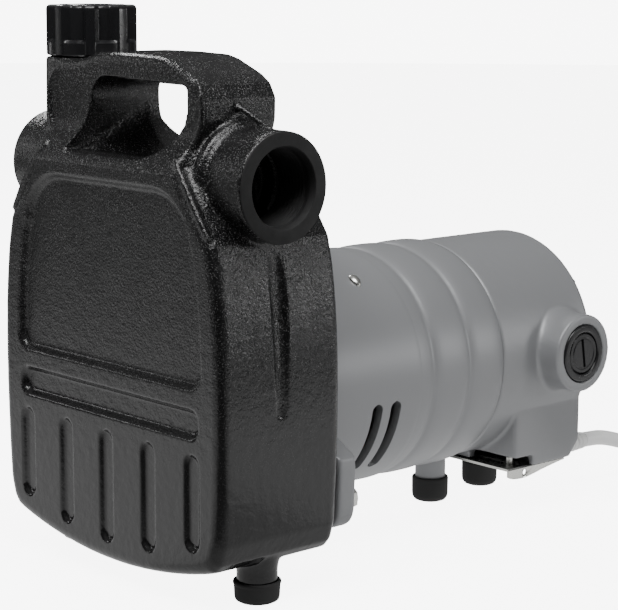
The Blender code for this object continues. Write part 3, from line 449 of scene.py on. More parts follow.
def curve_through(points, spacing):
    """Points at about this spacing on a Catmull-Rom curve through the given ones."""
    route = [Vector(point) for point in points]
    padded = [2 * route[0] - route[1]] + route + [2 * route[-1] - route[-2]]
    curve = []
    for p0, p1, p2, p3 in zip(padded, padded[1:], padded[2:], padded[3:]):
        steps = max(1, round((p2 - p1).length / spacing))
        for i in range(steps):
            t = i / steps
            a = 2 * p1
            b = (p2 - p0) * t
            c = (2 * p0 - 5 * p1 + 4 * p2 - p3) * t**2
            d = (3 * p1 - p0 - 3 * p2 + p3) * t**3
            curve.append((a + b + c + d) / 2)
    return curve + [route[-1]]


def scaled(outline, inset_x, inset_z, centre_z):
    half = max(abs(x) for x, _ in outline)
    tall = max(abs(z - centre_z) for _, z in outline)
    factor_x, factor_z = 1 - inset_x / half, 1 - inset_z / tall
    return [(x * factor_x, centre_z + (z - centre_z) * factor_z) for x, z in outline]


def mirrored(half):
    return list(half) + [(-x, z) for x, z in reversed(half) if x > 0]


def add_object(name, data, material_made):
    made = bpy.data.objects.new(name, data)
    bpy.context.scene.collection.objects.link(made)
    made.location = PLACE
    data.materials.append(material_made)
    return made


def piece(name, shape, material_made, sharp=35):
    """A smooth-shaded object from a closed bmesh, which is used up."""
    bmesh.ops.scale(shape, vec=(MM, MM, MM), verts=shape.verts)
    bmesh.ops.remove_doubles(shape, verts=shape.verts, dist=1e-7)
    bmesh.ops.recalc_face_normals(shape, faces=shape.faces)
    mesh = bpy.data.meshes.new(name)
    shape.to_mesh(mesh)
    shape.free()
    mesh.shade_smooth()
    mesh.set_sharp_from_angle(angle=math.radians(sharp))
    return add_object(name, mesh, material_made)


def settled(made, sharp=None):
    """The object with its modifiers applied and its helpers removed, shaded anew if sharp is given."""
    helpers = [m.object for m in made.modifiers if m.type == "BOOLEAN"]
    graph = bpy.context.evaluated_depsgraph_get()
    mesh = bpy.data.meshes.new_from_object(made.evaluated_get(graph))
    made.modifiers.clear()
    made.data = mesh
    for helper in helpers:
        bpy.data.objects.remove(helper)
    if sharp:
        mesh.shade_smooth()
        mesh.set_sharp_from_angle(angle=math.radians(sharp))
    return made


def add_voxels(made, size):
    voxels = made.modifiers.new("voxels", "REMESH")
    voxels.mode = "VOXEL"
    voxels.voxel_size = size
    voxels.use_smooth_shade = True


def cut(made, *shapes, solver="MANIFOLD"):
    for shape in shapes:
        tool = piece("cutter", shape, machined_black())
        tool.hide_render = True
        modifier = made.modifiers.new("cut", "BOOLEAN")
        modifier.object = tool
        modifier.operation = "DIFFERENCE"
        modifier.solver = solver


def cast_piece(name, shapes, cutters, material_made, smoothing=5):
    """Overlapping shapes grown into one body, cut, and softened like a casting with small fillets."""
    whole = bmesh.new()
    for shape in shapes:
        part = bpy.data.meshes.new("part")
        bmesh.ops.scale(shape, vec=(MM, MM, MM), verts=shape.verts)
        bmesh.ops.recalc_face_normals(shape, faces=shape.faces)
        shape.to_mesh(part)
        shape.free()
        whole.from_mesh(part)
        bpy.data.meshes.remove(part)
    mesh = bpy.data.meshes.new(name)
    whole.to_mesh(mesh)
    whole.free()
    made = add_object(name, mesh, material_made)
    add_voxels(made, FINE)
    cut(made, *cutters)
    add_voxels(made, FINE)
    smooth = made.modifiers.new("soft", "SMOOTH")
    smooth.factor = 0.5
    smooth.iterations = smoothing
    uneven = bpy.data.textures.new("sand_mould", "CLOUDS")
    uneven.noise_scale = 5 * MM
    displace = made.modifiers.new("uneven", "DISPLACE")
    displace.texture = uneven
    displace.texture_coords = "LOCAL"
    displace.strength = 0.12 * MM
    made = settled(made)
    made.data.shade_smooth()
    return made


def wire(name, points, radius, resolution, material_made):
    """A round wire through the points, as a curve object."""
    curve = bpy.data.curves.new(name, "CURVE")
    curve.dimensions = "3D"
    curve.bevel_depth = radius * MM
    curve.bevel_resolution = resolution
    curve.use_fill_caps = True
    spline = curve.splines.new("POLY")
    spline.points.add(len(points) - 1)
    for spot, point in zip(spline.points, points):
        spot.co = (*(point * MM), 1)
    return add_object(name, curve, material_made)


def stand_for(made, *nodes, body="housing", slot=None):
    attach(made, body)
    if nodes:
        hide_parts(*nodes)
    return made


# -------------------- power cord

CORD_ROUTE = (
    (35, 300.5, 27),
    (35, 318, 25.5),
    (37, 340, 19),
    (41, 362, 11.5),
    (44.3, 382, 6.6),
    (44.8, 398, 4.4),
)
COIL_CENTRE = (108.6, 400)
COIL_PITCH = 8.6
COIL_RADII = (56.6, 48, 39.4)
PLUG_X = 157.6
PLUG_BACK_Y = 335
PLUG_Z = 12.6


def eased(share):
    share = min(1, max(0, share))
    return share * share * (3 - 2 * share)


def coil_point(lap):
    """The cord's place after this many laps: inwards on the floor, outwards on that, a last turn on top."""
    whole = int(lap)
    shift = eased((lap - whole) / 0.16) if whole else 1
    slots = COIL_RADII + COIL_RADII[1::-1] + COIL_RADII[:1]
    radius = slots[whole - 1] + (slots[whole] - slots[whole - 1]) * shift if whole else slots[0]
    if whole == 0:
        radius += (COIL_CENTRE[0] - CORD_ROUTE[-1][0] - slots[0]) * (1 - eased(lap / 0.22))
    climbs = eased((lap - 2.7) / 0.25) + eased((lap - 4.7) / 0.25)
    height = CORD_RADIUS + 0.2 + COIL_PITCH * climbs
    angle = math.pi - 2 * math.pi * lap
    x = COIL_CENTRE[0] + radius * math.cos(angle)
    return Vector((x, COIL_CENTRE[1] + radius * math.sin(angle), height))


def cord_points():
    points = curve_through(CORD_ROUTE, 5)
    last_lap = 5.54
    steps = 320
    points += [coil_point(last_lap * i / steps) for i in range(1, steps + 1)]
    leaving = points[-1] - points[-2]
    edge = points[-1] + leaving.normalized() * 14
    tail = [points[-1], edge - Vector((0, 0, 0.6))]
    tail.append(Vector((PLUG_X + 0.5, PLUG_BACK_Y + 19, PLUG_Z + 4)))
    tail.append(Vector((PLUG_X, PLUG_BACK_Y + 8, PLUG_Z + 0.8)))
    tail.append(Vector((PLUG_X, PLUG_BACK_Y + 0.3, PLUG_Z)))
    return points[:-1] + curve_through(tail, 4)


def make_cord():
    """Strain relief, the cord with its coil in one curve, and the plug."""
    points = cord_points()
    cord = wire("flexible_cord", points, CORD_RADIUS, 7, cord_vinyl())
    stand_for(cord, "power_cord", "cord_coil", slot="cord_jacket")

    profile = [(0, 278), (4.9, 278), (4.9, 280.3), (6.6, 280.3), (6.6, 283), (5.6, 284.5)]
    for rib in range(4):
        start = 285 + 3.4 * rib
        size = 5.35 - 0.2 * rib
        profile += [(size - 0.7, start), (size - 0.7, start + 0.9)]
        profile += [(size, start + 1.3), (size - 0.05, start + 3)]
    profile += [(4.6, 299), (4.5, 300), (0, 300)]
    shape = turned(softened(profile, 0.4, 3), "Y", CORD_AXIS, 64)
    relief = piece("ribbed_strain_relief", shape, plug_vinyl())
    stand_for(relief, "cord_strain_relief", slot="cord_jacket")
    plug = make_plug()


def make_plug():
    """Moulded grounded plug with a waisted grip, brass blades and a round ground pin."""
    sections = []
    stations = ((0, 5.2, 5.2), (5, 6, 5.8), (11, 7.6, 7), (16, 9.6, 9), (20, 11.8, 11.2), (25, 12.7, 12),
                (31, 12.9, 12.4), (36, 12.9, 12.4), (37.4, 12.3, 11.8))
    for y, half_x, half_z in stations:
        outline = rounded_rect(-half_x, half_x, -half_z, half_z, (half_z * 0.55,) * 4)
        sections.append([(PLUG_X + dx, PLUG_BACK_Y - y, PLUG_Z + dz) for dx, dz in outline])
    plug = piece("grounded_plug", loft(sections), plug_vinyl(), 50)
    stand_for(plug, "cord_plug", slot="cord_jacket")
    face = PLUG_BACK_Y - 37.6
    for side, label in SIDES:
        low_x = PLUG_X + side * 6.35 - 0.75
        blade = box((low_x, face - 16.2, PLUG_Z + 1), (low_x + 1.5, face + 1, PLUG_Z + 7.3))
        bmesh.ops.bevel(blade, geom=blade.edges[:], offset=0.3, segments=2, affect="EDGES")
        stand_for(piece(f"plug_blade_{label}", blade, brass()))
    pin = rod(2.4, face - 18, face + 1, "Y", (PLUG_X, 0, PLUG_Z - 6), 32, 2)
    stand_for(piece("plug_ground_pin", pin, brass()))
    return plug


# -------------------- water end

def casing_outline():
    """Front view of the lower body: a round belly, near-upright sides, sloped shoulders."""
    radius, bottom = 270, 9.7
    belly = []
    for i in range(25):
        x = 72 * i / 24
        belly.append((x, bottom + radius - math.sqrt(radius**2 - x**2)))
    corner = [(77, 21.2), (80.2, 24.9)]
    side = [(82.9, 33.6), (84.3, 60), (84.9, 95), (84, 125), (81.3, 150), (77.6, 167.4)]
    return mirrored(belly + corner + curve_through(side, 4) + [(56, 198), (0, 199)])


def handle_outline():
    top = [(54.5, 235.5), (49, 239), (33, 245.3), (26, 246.8), (4, 247.4), (-20, 247.2), (-31, 244.5)]
    outline = [(NECK_X, 150), (46, 150), (46, 190), (49, 201)]
    outline += [(55.3, 211), (58, 219), (58.3, 229)]
    return outline + top + [(-38, NECK_TOP - 0.4), (NECK_X, NECK_TOP - 0.4)]


def rounded_slab(outline, front, back, edge, steps=4):
    """The outline from front to back, with both faces' edges rounded."""
    middle = (max(z for _, z in outline) + min(z for _, z in outline)) / 2
    sections = []
    for face, inward in ((front, 1), (back, -1)):
        ring = []
        for i in range(steps + 1):
            angle = math.pi / 2 * i / steps
            inset = edge * (1 - math.sin(angle))
            ring.append((face + inward * edge * (1 - math.cos(angle)), inset))
        sections += ring if inward == 1 else ring[::-1]
    return stack([(scaled(outline, inset, inset, middle), y) for y, inset in sections])


def grip_opening():
    """The hand hole: its near edge spreads at the foot, its far edge has a round corner."""
    near = rounded_rect(-23.6, 48, 200.8, 236.8, (30, 4, 11, 2), 12)
    spread = []
    for x, z in near:
        if z > 219:
            z -= 0.03 * (x + 23.6)
        elif x < 0:
            x -= 0.66 * (219 - z)
        spread.append((x, z))
    far = rounded_rect(-29.4, 48, 197.8, 232.8, (30, 4, 5, 26), 12)
    middle = [((x0 + x1) / 2, (z0 + z1) / 2 - 1.2) for (x0, z0), (x1, z1) in zip(spread, far)]
    return stack([(spread, -6), (spread, 12.5), (middle, 32), (far, 50), (far, 80)])


def cove(front, back):
    """The slope that joins one face of the body to the thinner handle."""
    slope = [(0.0, 196), (0.12, 198.6), (0.22, 200.4), (0.36, 202.8), (0.5, 205), (0.65, 207.2)]
    slope += [(0.8, 209.6), (1.0, 214)]
    inner = back + 8 * (1 if back > front else -1)
    points = [(front + share * (back - front), z) for share, z in slope]
    points += [(inner, 214), (inner, 190), (front, 190)]
    return loft([[(x, y, z) for y, z in points] for x in (-55, 53.5)])


def boss_shape(side):
    """Port boss with the raised ring where it leaves the shoulder and a flared root."""
    face = PORT_FACE_X - 0.6
    profile = [(0, 30), (30, 46), (29.6, 53), (28.6, 55.5), (26.6, 56.6), (26.6, 57.4), (28, 58.4)]
    profile += [(28, 60.8), (27.2, 61.8), (25.2, 62.6), (24.8, 65), (25, 70), (25, face), (0, face)]
    return turned(softened(sided(side, profile), 0.7), "X", PORT_AXIS)


BEADS = (
    # radius, radius at the ends, path: shoulder's front edge, line behind it, leg's edge, web on the boss
    (1.7, 1.3, ((49, 4.2, 203.5), (54, 2.2, 198.8), (58.3, 1.5, 193.8), (63.8, 1.4, 186),
                (69.2, 1.5, 178.2), (75, 1.8, 169.8))),
    (1.5, 0.8, ((55, 8.5, 199), (59.6, 7.2, 192.8), (63.6, 7.4, 187.2), (67.6, 8.4, 181.5))),
    (1.6, 1.0, ((53.5, 12.8, 237.6), (57.2, 12.4, 232.2), (58.4, 12.2, 225), (58, 12, 218.6),
                (55.3, 11.4, 211.4), (51.2, 9, 205.2), (47.5, 5.5, 202.2))),
    (1.5, 1.1, ((55.5, 31, 227.5), (62, 33, 223.6), (70, 34.5, 219.4), (78, 34.5, 216.6))),
)


def shoulder_beads():
    """Raised lines that the pattern left on each shoulder, round the handle's leg and on the boss."""
    beads = []
    for side in (-1, 1):
        for radius, tip, points in BEADS:
            path = curve_through([(side * x, y, z) for x, y, z in points], 1.5)
            rings = []
            for i, spot in enumerate(path):
                ahead = (path[min(i + 1, len(path) - 1)] - path[max(i - 1, 0)]).normalized()
                across = ahead.cross(Vector((0, 1, 0))).normalized()
                above = across.cross(ahead)
                share = i / (len(path) - 1)
                size = tip + (radius - tip) * math.sin(math.pi * share) ** 0.5
                around = [2 * math.pi * k / 12 for k in range(12)]
                spokes = [math.cos(angle) * across + math.sin(angle) * above for angle in around]
                rings.append([spot + size * spoke for spoke in spokes])
            beads.append(loft(rings))
    return beads


def panel_outline():
    bottom, top, shoulder = 101.8, 190.5, 27
    half = [(0, bottom), (63, bottom)]
    for i in range(1, 9):
        angle = math.radians(-90 + 80 * i / 8)
        half.append((63 + 8.5 * math.cos(angle), bottom + 9 * (1 + math.sin(angle))))
    sides = [(71.4, 112), (70.8, 126), (69.5, 141), (66, 162)]
    half += curve_through(sides, 4)
    for i in range(13):
        angle = math.radians(8 + 82 * i / 12)
        half.append((37 + shoulder * math.cos(angle), top + shoulder * (math.sin(angle) - 1)))
    return mirrored(half + [(0, top)])


def front_recesses():
    """Large panel, the narrow band under it and five upright grooves, all with sloping walls."""
    recesses = [(panel_outline(), 146, 3.4)]
    recesses.append((rounded_rect(-69.5, 69.5, 79.4, 94.4, (6,) * 4), 86.9, 3.2))
    for index in range(5):
        x = (index - 2) * 32.1
        bottom, top = 19 + 2.4 * (index - 2) ** 2, 73.7
        outline = rounded_rect(x - 5.5, x + 5.5, bottom, top, (5.4,) * 4)
        recesses.append((outline, (bottom + top) / 2, 2.2))
    cutters = []
    for rim, middle, depth in recesses:
        draft = 0.95 * depth
        centre_x = sum(x for x, _ in rim) / len(rim)
        centred = [(x - centre_x, z) for x, z in rim]
        sections = [(rim, -3)]
        for i in range(9):
            share = i / 8
            inset = draft * share
            outline = [(x + centre_x, z) for x, z in scaled(centred, inset, inset, middle)]
            sections.append((outline, 0.05 + depth * eased(share)))
        cutters.append(stack(sections))
    return cutters


def casing_hollows():
    """Water chamber, back opening, port bores with their channels, neck bore and bolt holes."""
    chamber = scaled(casing_outline(), 10, 22, 92)
    chamber = [(x, min(z, 164)) for x, z in chamber]
    cutters = [stack([(chamber, 8.5), (chamber, 63)]), rod(50, 60, 75, "Y", AXIS)]
    for side, inner in ((-1, 33), (1, 54)):
        cutters.append(rod(16.2, side * inner, side * 70, "X", PORT_AXIS))
        cutters.append(rod(18.6, side * 62, side * 90, "X", PORT_AXIS))
        low_x, high_x = sorted((side * 42, side * 66))
        cutters.append(box((low_x, 23, 155), (high_x, 46, PORT_Z - 1)))
    cutters.append(rod(15, 190, 250, "Z", NECK_AXIS))
    return cutters + [rod(3.5, 64.5, 75, "Y", (x, 0, z), 24) for x, z in ADAPTER_BOLTS]


def side_channels():
    """The shallow upright hollow that each flank has under its port."""
    channels = []
    middle_y = 35.5
    for side in (-1, 1):
        rings = []
        for i in range(15):
            share = i / 14
            z = 88 + 80 * share
            width = 3.4 + 2.4 * share
            reach = 3.3 * min(1, 0.1 + 1.6 * share)
            flank = 84.9 - 0.0007 * (z - 95) ** 2
            ring = []
            for k in range(16):
                angle = 2 * math.pi * k / 16
                x = side * (flank + reach * math.sin(angle))
                ring.append((x, middle_y + width * math.cos(angle), z))
            rings.append(ring)
        channels.append(loft(rings))
    return channels


def make_casing():
    slab = rounded_slab(casing_outline(), 0, 72, 5.2, 6)
    handle = rounded_slab(handle_outline(), 12, 56.5, 3.6)
    shapes = [slab, handle, cove(0, 12), cove(72, 56.5)]
    neck = [(0, 160), (22.6, 160), (22.4, 205), (22, NECK_TOP), (0, NECK_TOP)]
    shapes.append(turned(softened(neck, 1.2), "Z", NECK_AXIS))
    for side in (-1, 1):
        shapes.append(boss_shape(side))
        stem = [(0, 3.3), (9.5, 3.3), (9.5, 16), (11, 24), (11, 40), (0, 40)]
        shapes.append(turned(softened(stem, 1), "Z", (side * FOOT_X, PORT_Y + 0.5, 0)))
    shapes += shoulder_beads()
    cutters = [grip_opening()] + front_recesses() + casing_hollows() + side_channels()
    casing = cast_piece("cast_casing", shapes, cutters, cast_black(), smoothing=4)
    stand_for(casing, "pump_casing", slot="cast_iron_black")


def make_port_rings():
    """Machined face and female pipe thread of each port, cut as one helix."""
    pitch, depth, steps = 2.2, 1.1, 8
    for side, label in ((-1, "suction"), (1, "discharge")):
        start, end = 64, 83.4
        count = round((end - start) / pitch * steps)

        def ridge(along):
            def radius(angle):
                turn = (along / pitch - side * angle / (2 * math.pi)) % 1
                fade = min(1, (end - along) / 2, (along - start) / 2 + 0.2)
                bore = 16.7 + 0.03 * (along - start)
                return bore + depth * fade * (abs(2 * turn - 1) - 0.15)
            return radius

        profile = [(18.3, 63.5), (18.3, PORT_FACE_X - 0.9)]
        profile += [(24.3, PORT_FACE_X - 0.9), (24.75, PORT_FACE_X - 0.5)]
        profile += [(24.6, PORT_FACE_X - 0.12), (24.3, PORT_FACE_X)]
        profile += [(18.7, PORT_FACE_X), (18.4, PORT_FACE_X - 0.2), (17.5, 84.8)]
        for i in range(count + 1):
            along = end - (end - start) * i / count
            profile.append((ridge(along), along))
        shape = turned(sided(side, profile), "X", PORT_AXIS, 128)
        ring = piece(f"{label}_port_thread", shape, machined_black(), 30)
        stand_for(ring, slot="cast_iron_black")


def make_cap():
    """Screw cap: eight ribs with hollow bays between them over a band, and its threaded plug."""
    outer, bay, edge = 21.7, 4.4, 2.1
    band, seal_top, top = NECK_TOP + 0.5, NECK_TOP + 2.2, 268.2

    def wall(height, radius=outer):
        climb = eased((height - 0.28) / 0.06)

        def size(angle):
            from_middle = abs((math.degrees(angle) - 7.5) % 45 - 22.5)
            inside = max(0, 1 - (from_middle / 17) ** 2)
            step = 0.8 * eased((17 - from_middle) / 1.5)
            return radius - max(step, bay * climb * min(1, 1.5 * inside))
        return size

    profile = [(0, 230), (13.4, 230), (14.2, 231)]
    for i in range(28):
        along = 231.5 + i * 0.45
        profile.append((14.3 + 0.35 * math.cos(2 * math.pi * i / 7), along))
    profile += [(14.3, seal_top), (20, seal_top), (20, band), (20.4, band)]
    profile.append((21.1, band + 0.3))
    rise = top - edge - band
    for i in range(1, 33):
        share = i / 32
        profile.append((wall(share), band + rise * share))
    for i in range(1, 7):
        angle = math.pi / 2 * i / 6
        inset = edge * (1 - math.cos(angle))
        profile.append((wall(1, outer - inset), top - edge * (1 - math.sin(angle))))
    profile += [(15.2, top), (14.6, top - 0.5)]
    profile += [(12.4, top - 0.5), (11.8, top), (11, top + 0.2), (0, top + 0.2)]
    shape = turned(profile, "Z", NECK_AXIS, 360)
    cap = piece("ribbed_priming_cap", shape, gloss_black(), 45)
    stand_for(cap, "priming_cap", body="cap", slot="cap_plastic")


# -------------------- motor

def adapter_outline():
    outline = []
    for i in range(103):
        degrees = -12 + 2 * i
        nearest_ear = min(abs(degrees - 42), abs(138 - degrees))
        radius = 66 + 17 * max(0, 1 - (nearest_ear / 15) ** 2)
        angle = math.radians(degrees)
        outline.append((radius * math.cos(angle), AXIS_Z + radius * math.sin(angle)))
    ear = [(80.6, 62), (81.3, 56), (80.8, 46), (80.6, 38), (80, 34), (78.2, 30.5), (75, 28), (70, 27)]
    left = [(-x, z) for x, z in ear]
    return outline + left + [(-40, 25.5), (40, 25.5)] + ear[::-1]


def make_adapter():
    """Cast plate between the casing and the motor, with a bearing hub behind it."""
    shapes = [rounded_slab(adapter_outline(), 73.6, ADAPTER_BACK, 1.8)]
    shapes += [rod(22, 79, 94.5, "Y", AXIS), rod(49, 66.5, 82, "Y", AXIS)]
    through = [(0, 60), (12.3, 60), (12.3, 74), (8.5, 74), (8.5, 86), (11.3, 86), (11.3, 100), (0, 100)]
    cutters = [turned(through, "Y", AXIS)]
    cutters += [rod(3.5, 60, 100, "Y", (x, 0, z), 32) for x, z in ADAPTER_BOLTS]
    cutters += [rod(2.8, 78, 95, "Y", through_bolt_place(side), 24) for side in (-1, 1)]
    adapter = cast_piece("cast_adapter", shapes, cutters, grey_enamel(), smoothing=4)
    stand_for(adapter, "motor_adapter", slot="grey_enamel")


def make_casing_bolts():
    """Flanged hex bolts with a domed head and a rolled thread."""
    places = {"upper_left": (-54.25, 133.85), "upper_right": (54.25, 133.85),
              "lower_left": (-71.5, 40), "lower_right": (71.5, 40)}
    base = ADAPTER_BACK + GAP
    for label, (x, z) in places.items():
        profile = [(0, 65.5), (2.4, 65.5)]
        profile += [(3.1 - 0.25 * (i % 2), 66 + 0.5 * i) for i in range(24)]
        profile += [(3.1, base), (7, base), (7, base + 0.7), (6.2, base + 1.3)]
        hexagon = hexagon_radius(6.2)
        profile += [(hexagon, base + 1.5), (hexagon, base + 4.2), (5, base + 4.9)]
        profile += [(3.9, base + 5), (3.6, base + 4.7), (0, base + 4.7)]
        bolt = piece(f"hex_bolt_{label}", turned(profile, "Y", (x, 0, z), 72), zinc(), 25)
        stand_for(bolt, f"casing_bolt_{label}", slot="zinc_steel")


def hexagon_radius(corner):
    """The radius of a bolt head at each angle, with its corners turned off a little."""
    def radius(angle):
        within = (angle + math.pi / 6) % (math.pi / 3) - math.pi / 6
        return min(corner * 0.985, corner * math.cos(math.pi / 6) / math.cos(within))
    return radius


def make_shell():
    """Turned shell: a plain front, two humps between creases, and two air slots a side."""
    creases = (128, 158.5, 184.5, 208.7)
    humps = [(59, 85.3), (59.5, 88), (59.7, 97), (59.7, 120)]
    for start, end in zip(creases, creases[1:]):
        for i in range(1 if start > creases[0] else 7, 13):
            share = i / 12
            swell = 1 - abs(2 * share - 1) ** 3.4
            humps.append((58.5 + 1.5 * swell, start + share * (end - start)))
    outside = curve_through(humps, 0.8)
    inside = [(53.7, 208.7), (53.7, 212), (52.7, 212), (52.7, 207.5), (55.3, 207.5), (55.3, 85.3)]
    shape = turned(outside + inside, "Y", AXIS, 256)
    shell = piece("ribbed_motor_shell", shape, grey_enamel(), 40)
    cut(shell, *(air_slot(side, y) for side in (-1, 1) for y in (119.5, 131.8)))
    edge = shell.modifiers.new("rolled edges", "BEVEL")
    edge.width = 0.6 * MM
    edge.segments = 3
    edge.limit_method = "ANGLE"
    edge.angle_limit = math.radians(55)
    stand_for(settled(shell, 38), "motor_shell", slot="grey_enamel")
    # On each side a small bright zinc pip stands where the shell shows a highlight on a small boss: a
    # painted highlight.
    for side, label in SIDES:
        tilt, radius = math.radians(56), 59.4
        spot = Vector((side * radius * math.cos(tilt), 127.5, AXIS_Z + radius * math.sin(tilt)))
        head = bmesh.new()
        bmesh.ops.create_uvsphere(head, u_segments=32, v_segments=16, radius=1)
        size = Matrix.Diagonal((4.2, 2.8, 2.2, 1))
        turn = Matrix.Rotation(side * (math.pi / 2 - tilt), 4, "Y")
        bmesh.ops.transform(head, matrix=Matrix.Translation(spot) @ turn @ size, verts=head.verts)
        stand_for(piece(f"shell_highlight_pip_{label}", head, zinc()), slot="zinc_steel")


def air_slot(side, y):
    """A curved slot with round ends that follows the shell from under its side to near its bottom."""
    sections = []
    steps, start, sweep, half = 40, math.radians(-7), math.radians(40), 3.4
    for i in range(steps + 1):
        share = i / steps
        angle = start - sweep * share
        end = min(share, 1 - share) * sweep * 59
        narrow = math.sqrt(max(0.02, 1 - max(0, 1 - end / half) ** 2)) * half
        ring = []
        for radius, offset in ((50, -1), (66, -1), (66, 1), (50, 1)):
            x = side * radius * math.cos(angle)
            ring.append((x, y + offset * narrow, AXIS_Z + radius * math.sin(angle)))
        sections.append(ring)
    return loft(sections)


def make_end_bell():
    """Rear drum with the terminal box under it and a boss for each brush."""
    drum = [(0, 209.2), (58.4, 209.2), (58.3, 214), (58.3, 277.5), (55.8, 280), (0, 280)]
    shapes = [turned(softened(drum, 2.2), "Y", AXIS, 192)]
    sections = []
    for x, inset in ((-51, 1.8), (-50.4, 0.6), (-49.2, 0), (49.2, 0), (50.4, 0.6), (51, 1.8)):
        front, back = 228 + inset, 279.6 - inset
        ring = [(front, 80), (front, BOX_BOTTOM), (272 - inset / 2, BOX_BOTTOM)]
        ring += [(back, 33.5 + inset / 2), (back, 80)]
        sections.append([(x, y, z) for y, z in ring])
    shapes.append(loft(sections))
    cutters = []
    for side in (-1, 1):
        boss = [(0, 40), (24, 40), (22.4, 54), (21, 59), (20.6, 63), (20.6, 71.6), (0, 71.6)]
        shapes.append(turned(softened(sided(side, boss), 1.1), "X", BRUSH_AXIS))
        cutters.append(rod(10.3, side * 30, side * 80, "X", BRUSH_AXIS))
        cutters.append(rod(15.3, side * 66, side * 80, "X", BRUSH_AXIS))
        cutters.append(rod(2.8, 270, 290, "Y", through_bolt_place(side), 24))
    hollow = [(0, 200), (54, 200), (54, 275.6), (16, 275.6), (16, 267.5), (11.3, 267.5)]
    hollow += [(11.3, 276.2), (0, 276.2)]
    cutters += [turned(hollow, "Y", AXIS), rod(5.3, 262, 290, "Y", CORD_AXIS, 48)]
    cutters += [box((-47, 232, 15), (47, 268, 28.5)), box((18, 220, 15), (60, 242.5, 30.8))]
    bell = cast_piece("cast_end_bell", shapes, cutters, grey_enamel())
    stand_for(bell, "end_bell", slot="grey_enamel")


def make_brush_fittings():
    """On each side: the stepped holder with its square channel, and the slotted screw cap in it."""
    for side, label in SIDES:
        ring = [(0, 18.5), (9.9, 18.5), (9.9, 66.4), (15, 66.4), (15, 71.4), (14.4, 72), (12, 72)]
        ring += [(11.4, 71.7), (11.1, 71.2), (11.1, 69.5), (7.4, 69.5), (7.4, 55.8), (0, 55.8)]
        shape = turned(softened(sided(side, ring), 0.25, 3), "X", BRUSH_AXIS)
        holder = piece(f"moulded_holder_{label}", shape, gloss_black())
        low_x, high_x = sorted((side * 10, side * 58))
        half_y, half_z = 4.3, 3.3
        low = (low_x, BRUSH_Y - half_y, BRUSH_Z - half_z)
        high = (high_x, BRUSH_Y + half_y, BRUSH_Z + half_z)
        cut(holder, box(low, high))
        stand_for(settled(holder, 35), f"brush_holder_{label}", slot="cap_plastic")
        cap = [(0, 56), (6.8, 56)] + [(6.95 - 0.35 * (i % 2), 56.6 + 0.5 * i) for i in range(25)]
        cap += [(7, 69.8), (10.7, 69.8), (10.7, 70.8), (10.1, 71.4), (8.7, 71.4), (8.3, 71.05)]
        cap += [(7.8, 71.05), (7.4, 71.4), (0, 71.4)]
        made = piece(f"slotted_cap_{label}", turned(sided(side, cap), "X", BRUSH_AXIS), gloss_black())
        low_x, high_x = sorted((side * 70.1, side * 75))
        slot = box((low_x, -0.9, -7.6), (high_x, 0.9, 7.6))
        lean = Matrix.Translation(BRUSH_AXIS) @ Matrix.Rotation(math.radians(9), 4, "X")
        bmesh.ops.transform(slot, matrix=lean, verts=slot.verts)
        cut(made, slot)
        stand_for(settled(made, 30), f"brush_cap_{label}", body=f"screw_cap_{label}", slot="cap_plastic")


def make_terminal_cover():
    """Pressed cover under the terminal box with the flange that hangs from its edge, and two screws."""
    top = BOX_BOTTOM - GAP
    bottom = top - 1.3
    left, inside, outside = -45.5, 46.4, 47.6
    stations = ((226.5, 20.4), (228, 19.5), (230, 18.9), (233, 18.5), (237, 18.3), (241, 18.5), (247, 19.5),
                (252, 20.5), (258, 21.5), (264, 22.4), (268, 23), (271, 23.3))
    sections = []
    for y, low in stations:
        ring = [(left, top), (outside - 0.8, top), (outside, top - 0.8), (outside, low)]
        ring += [(inside, low), (inside, bottom), (left, bottom)]
        sections.append((ring, y))
    cover = piece("pressed_cover", stack(sections), zinc(), 30)
    cut(cover, rod(1.6, 40, 60, "X", (0, 239.5, 21.4), 32), solver="EXACT")
    for x, y in COVER_SCREWS:
        cut(cover, rod(2.3, 10, 30, "Z", (x, y, 0), 32), solver="EXACT")
    stand_for(settled(cover), "terminal_cover", slot="grey_enamel")
    for number, (x, y) in enumerate(COVER_SCREWS, 1):
        head = [(0, -2.4), (2.2, -2.3), (3.4, -1.7), (3.8, -0.9), (3.8, -0.3), (2, -0.3), (2, 5), (0, 6.5)]
        shape = turned([(radius, bottom + z) for radius, z in head], "Z", (x, y, 0), 48)
        screw = piece(f"pan_screw_{number}", shape, zinc())
        for reach_x, reach_y in ((0.45, 2.2), (2.2, 0.45)):
            low = (x - reach_x, y - reach_y, bottom - 5)
            high = (x + reach_x, y + reach_y, bottom - 1.3)
            cut(screw, box(low, high))
        stand_for(settled(screw), f"cover_screw_{number}", slot="zinc_steel")


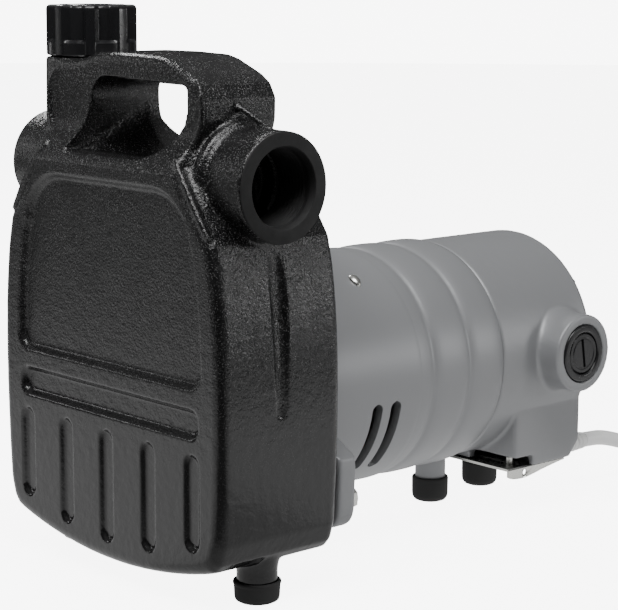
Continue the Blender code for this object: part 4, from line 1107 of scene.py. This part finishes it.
def make_feet():
    """Rubber cups with a rolled lip and rounded rim on the casing's stems and the motor's legs."""
    for side, label in SIDES:
        cup = [(0, 0), (8.2, 0), (10.1, 1), (10.5, 2.6), (10.8, 8), (11.2, 8.8), (11.2, 9.6)]
        cup += [(10.7, 10.2), (9.8, 10.2), (9.8, 3), (0, 3)]
        shape = turned(softened(cup, 0.5, 3), "Z", (side * FOOT_X, PORT_Y + 0.5, 0))
        stand_for(piece(f"casing_cup_{label}", shape, rubber(), 60), f"casing_foot_{label}", slot="rubber")
    legs = {"front": (-2.5, 218.5, 27.5), "rear": (-8, 263.5, 22.9)}
    for label, (x, y, leg_top) in legs.items():
        cup = [(0, 0), (6.6, 0), (8.4, 0.7), (9.5, 2.2), (9.8, 4), (9.9, 12.6), (9.6, 13.4)]
        cup += [(8.5, 13.5), (8.5, 3), (0, 3)]
        shape = turned(softened(cup, 0.5, 3), "Z", (x, y, 0))
        stand_for(piece(f"motor_cup_{label}", shape, rubber(), 60), f"motor_foot_{label}", slot="rubber")
        leg = [(0, 3.3), (8.2, 3.3), (8.2, leg_top - 2.5), (8.9, leg_top), (0, leg_top)]
        shape = turned(softened(leg, 0.8), "Z", (x, y, 0))
        stand_for(piece(f"leg_{label}", shape, grey_enamel(), 60), f"motor_leg_{label}", slot="grey_enamel")


def make_through_bolts():
    """The two long bolts that hold the motor together, seen by their heads."""
    for side, label in SIDES:
        base, top = LENGTH + GAP, LENGTH + GAP + 3.2
        hexagon = hexagon_radius(4.6)
        profile = [(0, 79), (2.5, 79), (2.5, base), (4.5, base)]
        profile += [(hexagon, base + 0.2), (hexagon, top - 0.5), (3.8, top), (0, top)]
        shape = turned(profile, "Y", through_bolt_place(side), 72)
        bolt = piece(f"long_bolt_{label}", shape, zinc(), 25)
        stand_for(bolt, f"through_bolt_{label}", slot="zinc_steel")


# -------------------- pieces inside

INSIDE = {
    "cap_seal": rubber, "check_valve_flap": rubber, "water_slinger": rubber, "check_valve_seat": brass,
    "jet_nozzle": brass, "impeller_nut": brass, "venturi_tube": cream, "diffuser": cream, "impeller": cream,
    "seal_seat": ceramic, "seal_head": carbon, "seal_spring": steel, "casing_gasket": gasket_paper,
    "field_core": lamination, "armature_core": lamination, "field_coil_lower": copper,
    "field_coil_upper": copper, "armature_winding_front": copper, "armature_winding_rear": copper,
    "commutator": copper, "motor_shaft": steel, "front_bearing": steel, "rear_bearing": steel,
    "cooling_fan": dull_black, "carbon_brush_left": carbon, "carbon_brush_right": carbon,
}


def finish_inside():
    for node, made_of in INSIDE.items():
        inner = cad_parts[node]
        inner.data.materials.clear()
        inner.data.materials.append(made_of())
        inner.data.shade_smooth()
        inner.data.set_sharp_from_angle(angle=math.radians(32))


def make_brush_springs():
    """Wound springs that press the carbon brushes on the commutator."""
    for side, label in SIDES:
        points = []
        coils, steps, coil_radius = 11, 20, 2.5
        for i in range(coils * steps + 1):
            share = i / (coils * steps)
            angle = 2 * math.pi * coils * share
            off_y, off_z = coil_radius * math.cos(angle), coil_radius * math.sin(angle)
            points.append(Vector((side * (33.6 + 21.7 * share), BRUSH_Y + off_y, BRUSH_Z + off_z)))
        spring = wire(f"wound_spring_{label}", points, 0.3, 3, steel())
        stand_for(spring, f"brush_spring_{label}", body=f"spring_{label}", slot="steel")


def main():
    make_camera()
    make_cord()
    make_studio()
    make_casing()
    make_port_rings()
    make_cap()
    make_adapter()
    make_casing_bolts()
    make_shell()
    make_end_bell()
    make_brush_fittings()
    make_terminal_cover()
    make_feet()
    make_through_bolts()
    make_brush_springs()
    finish_inside()


main()
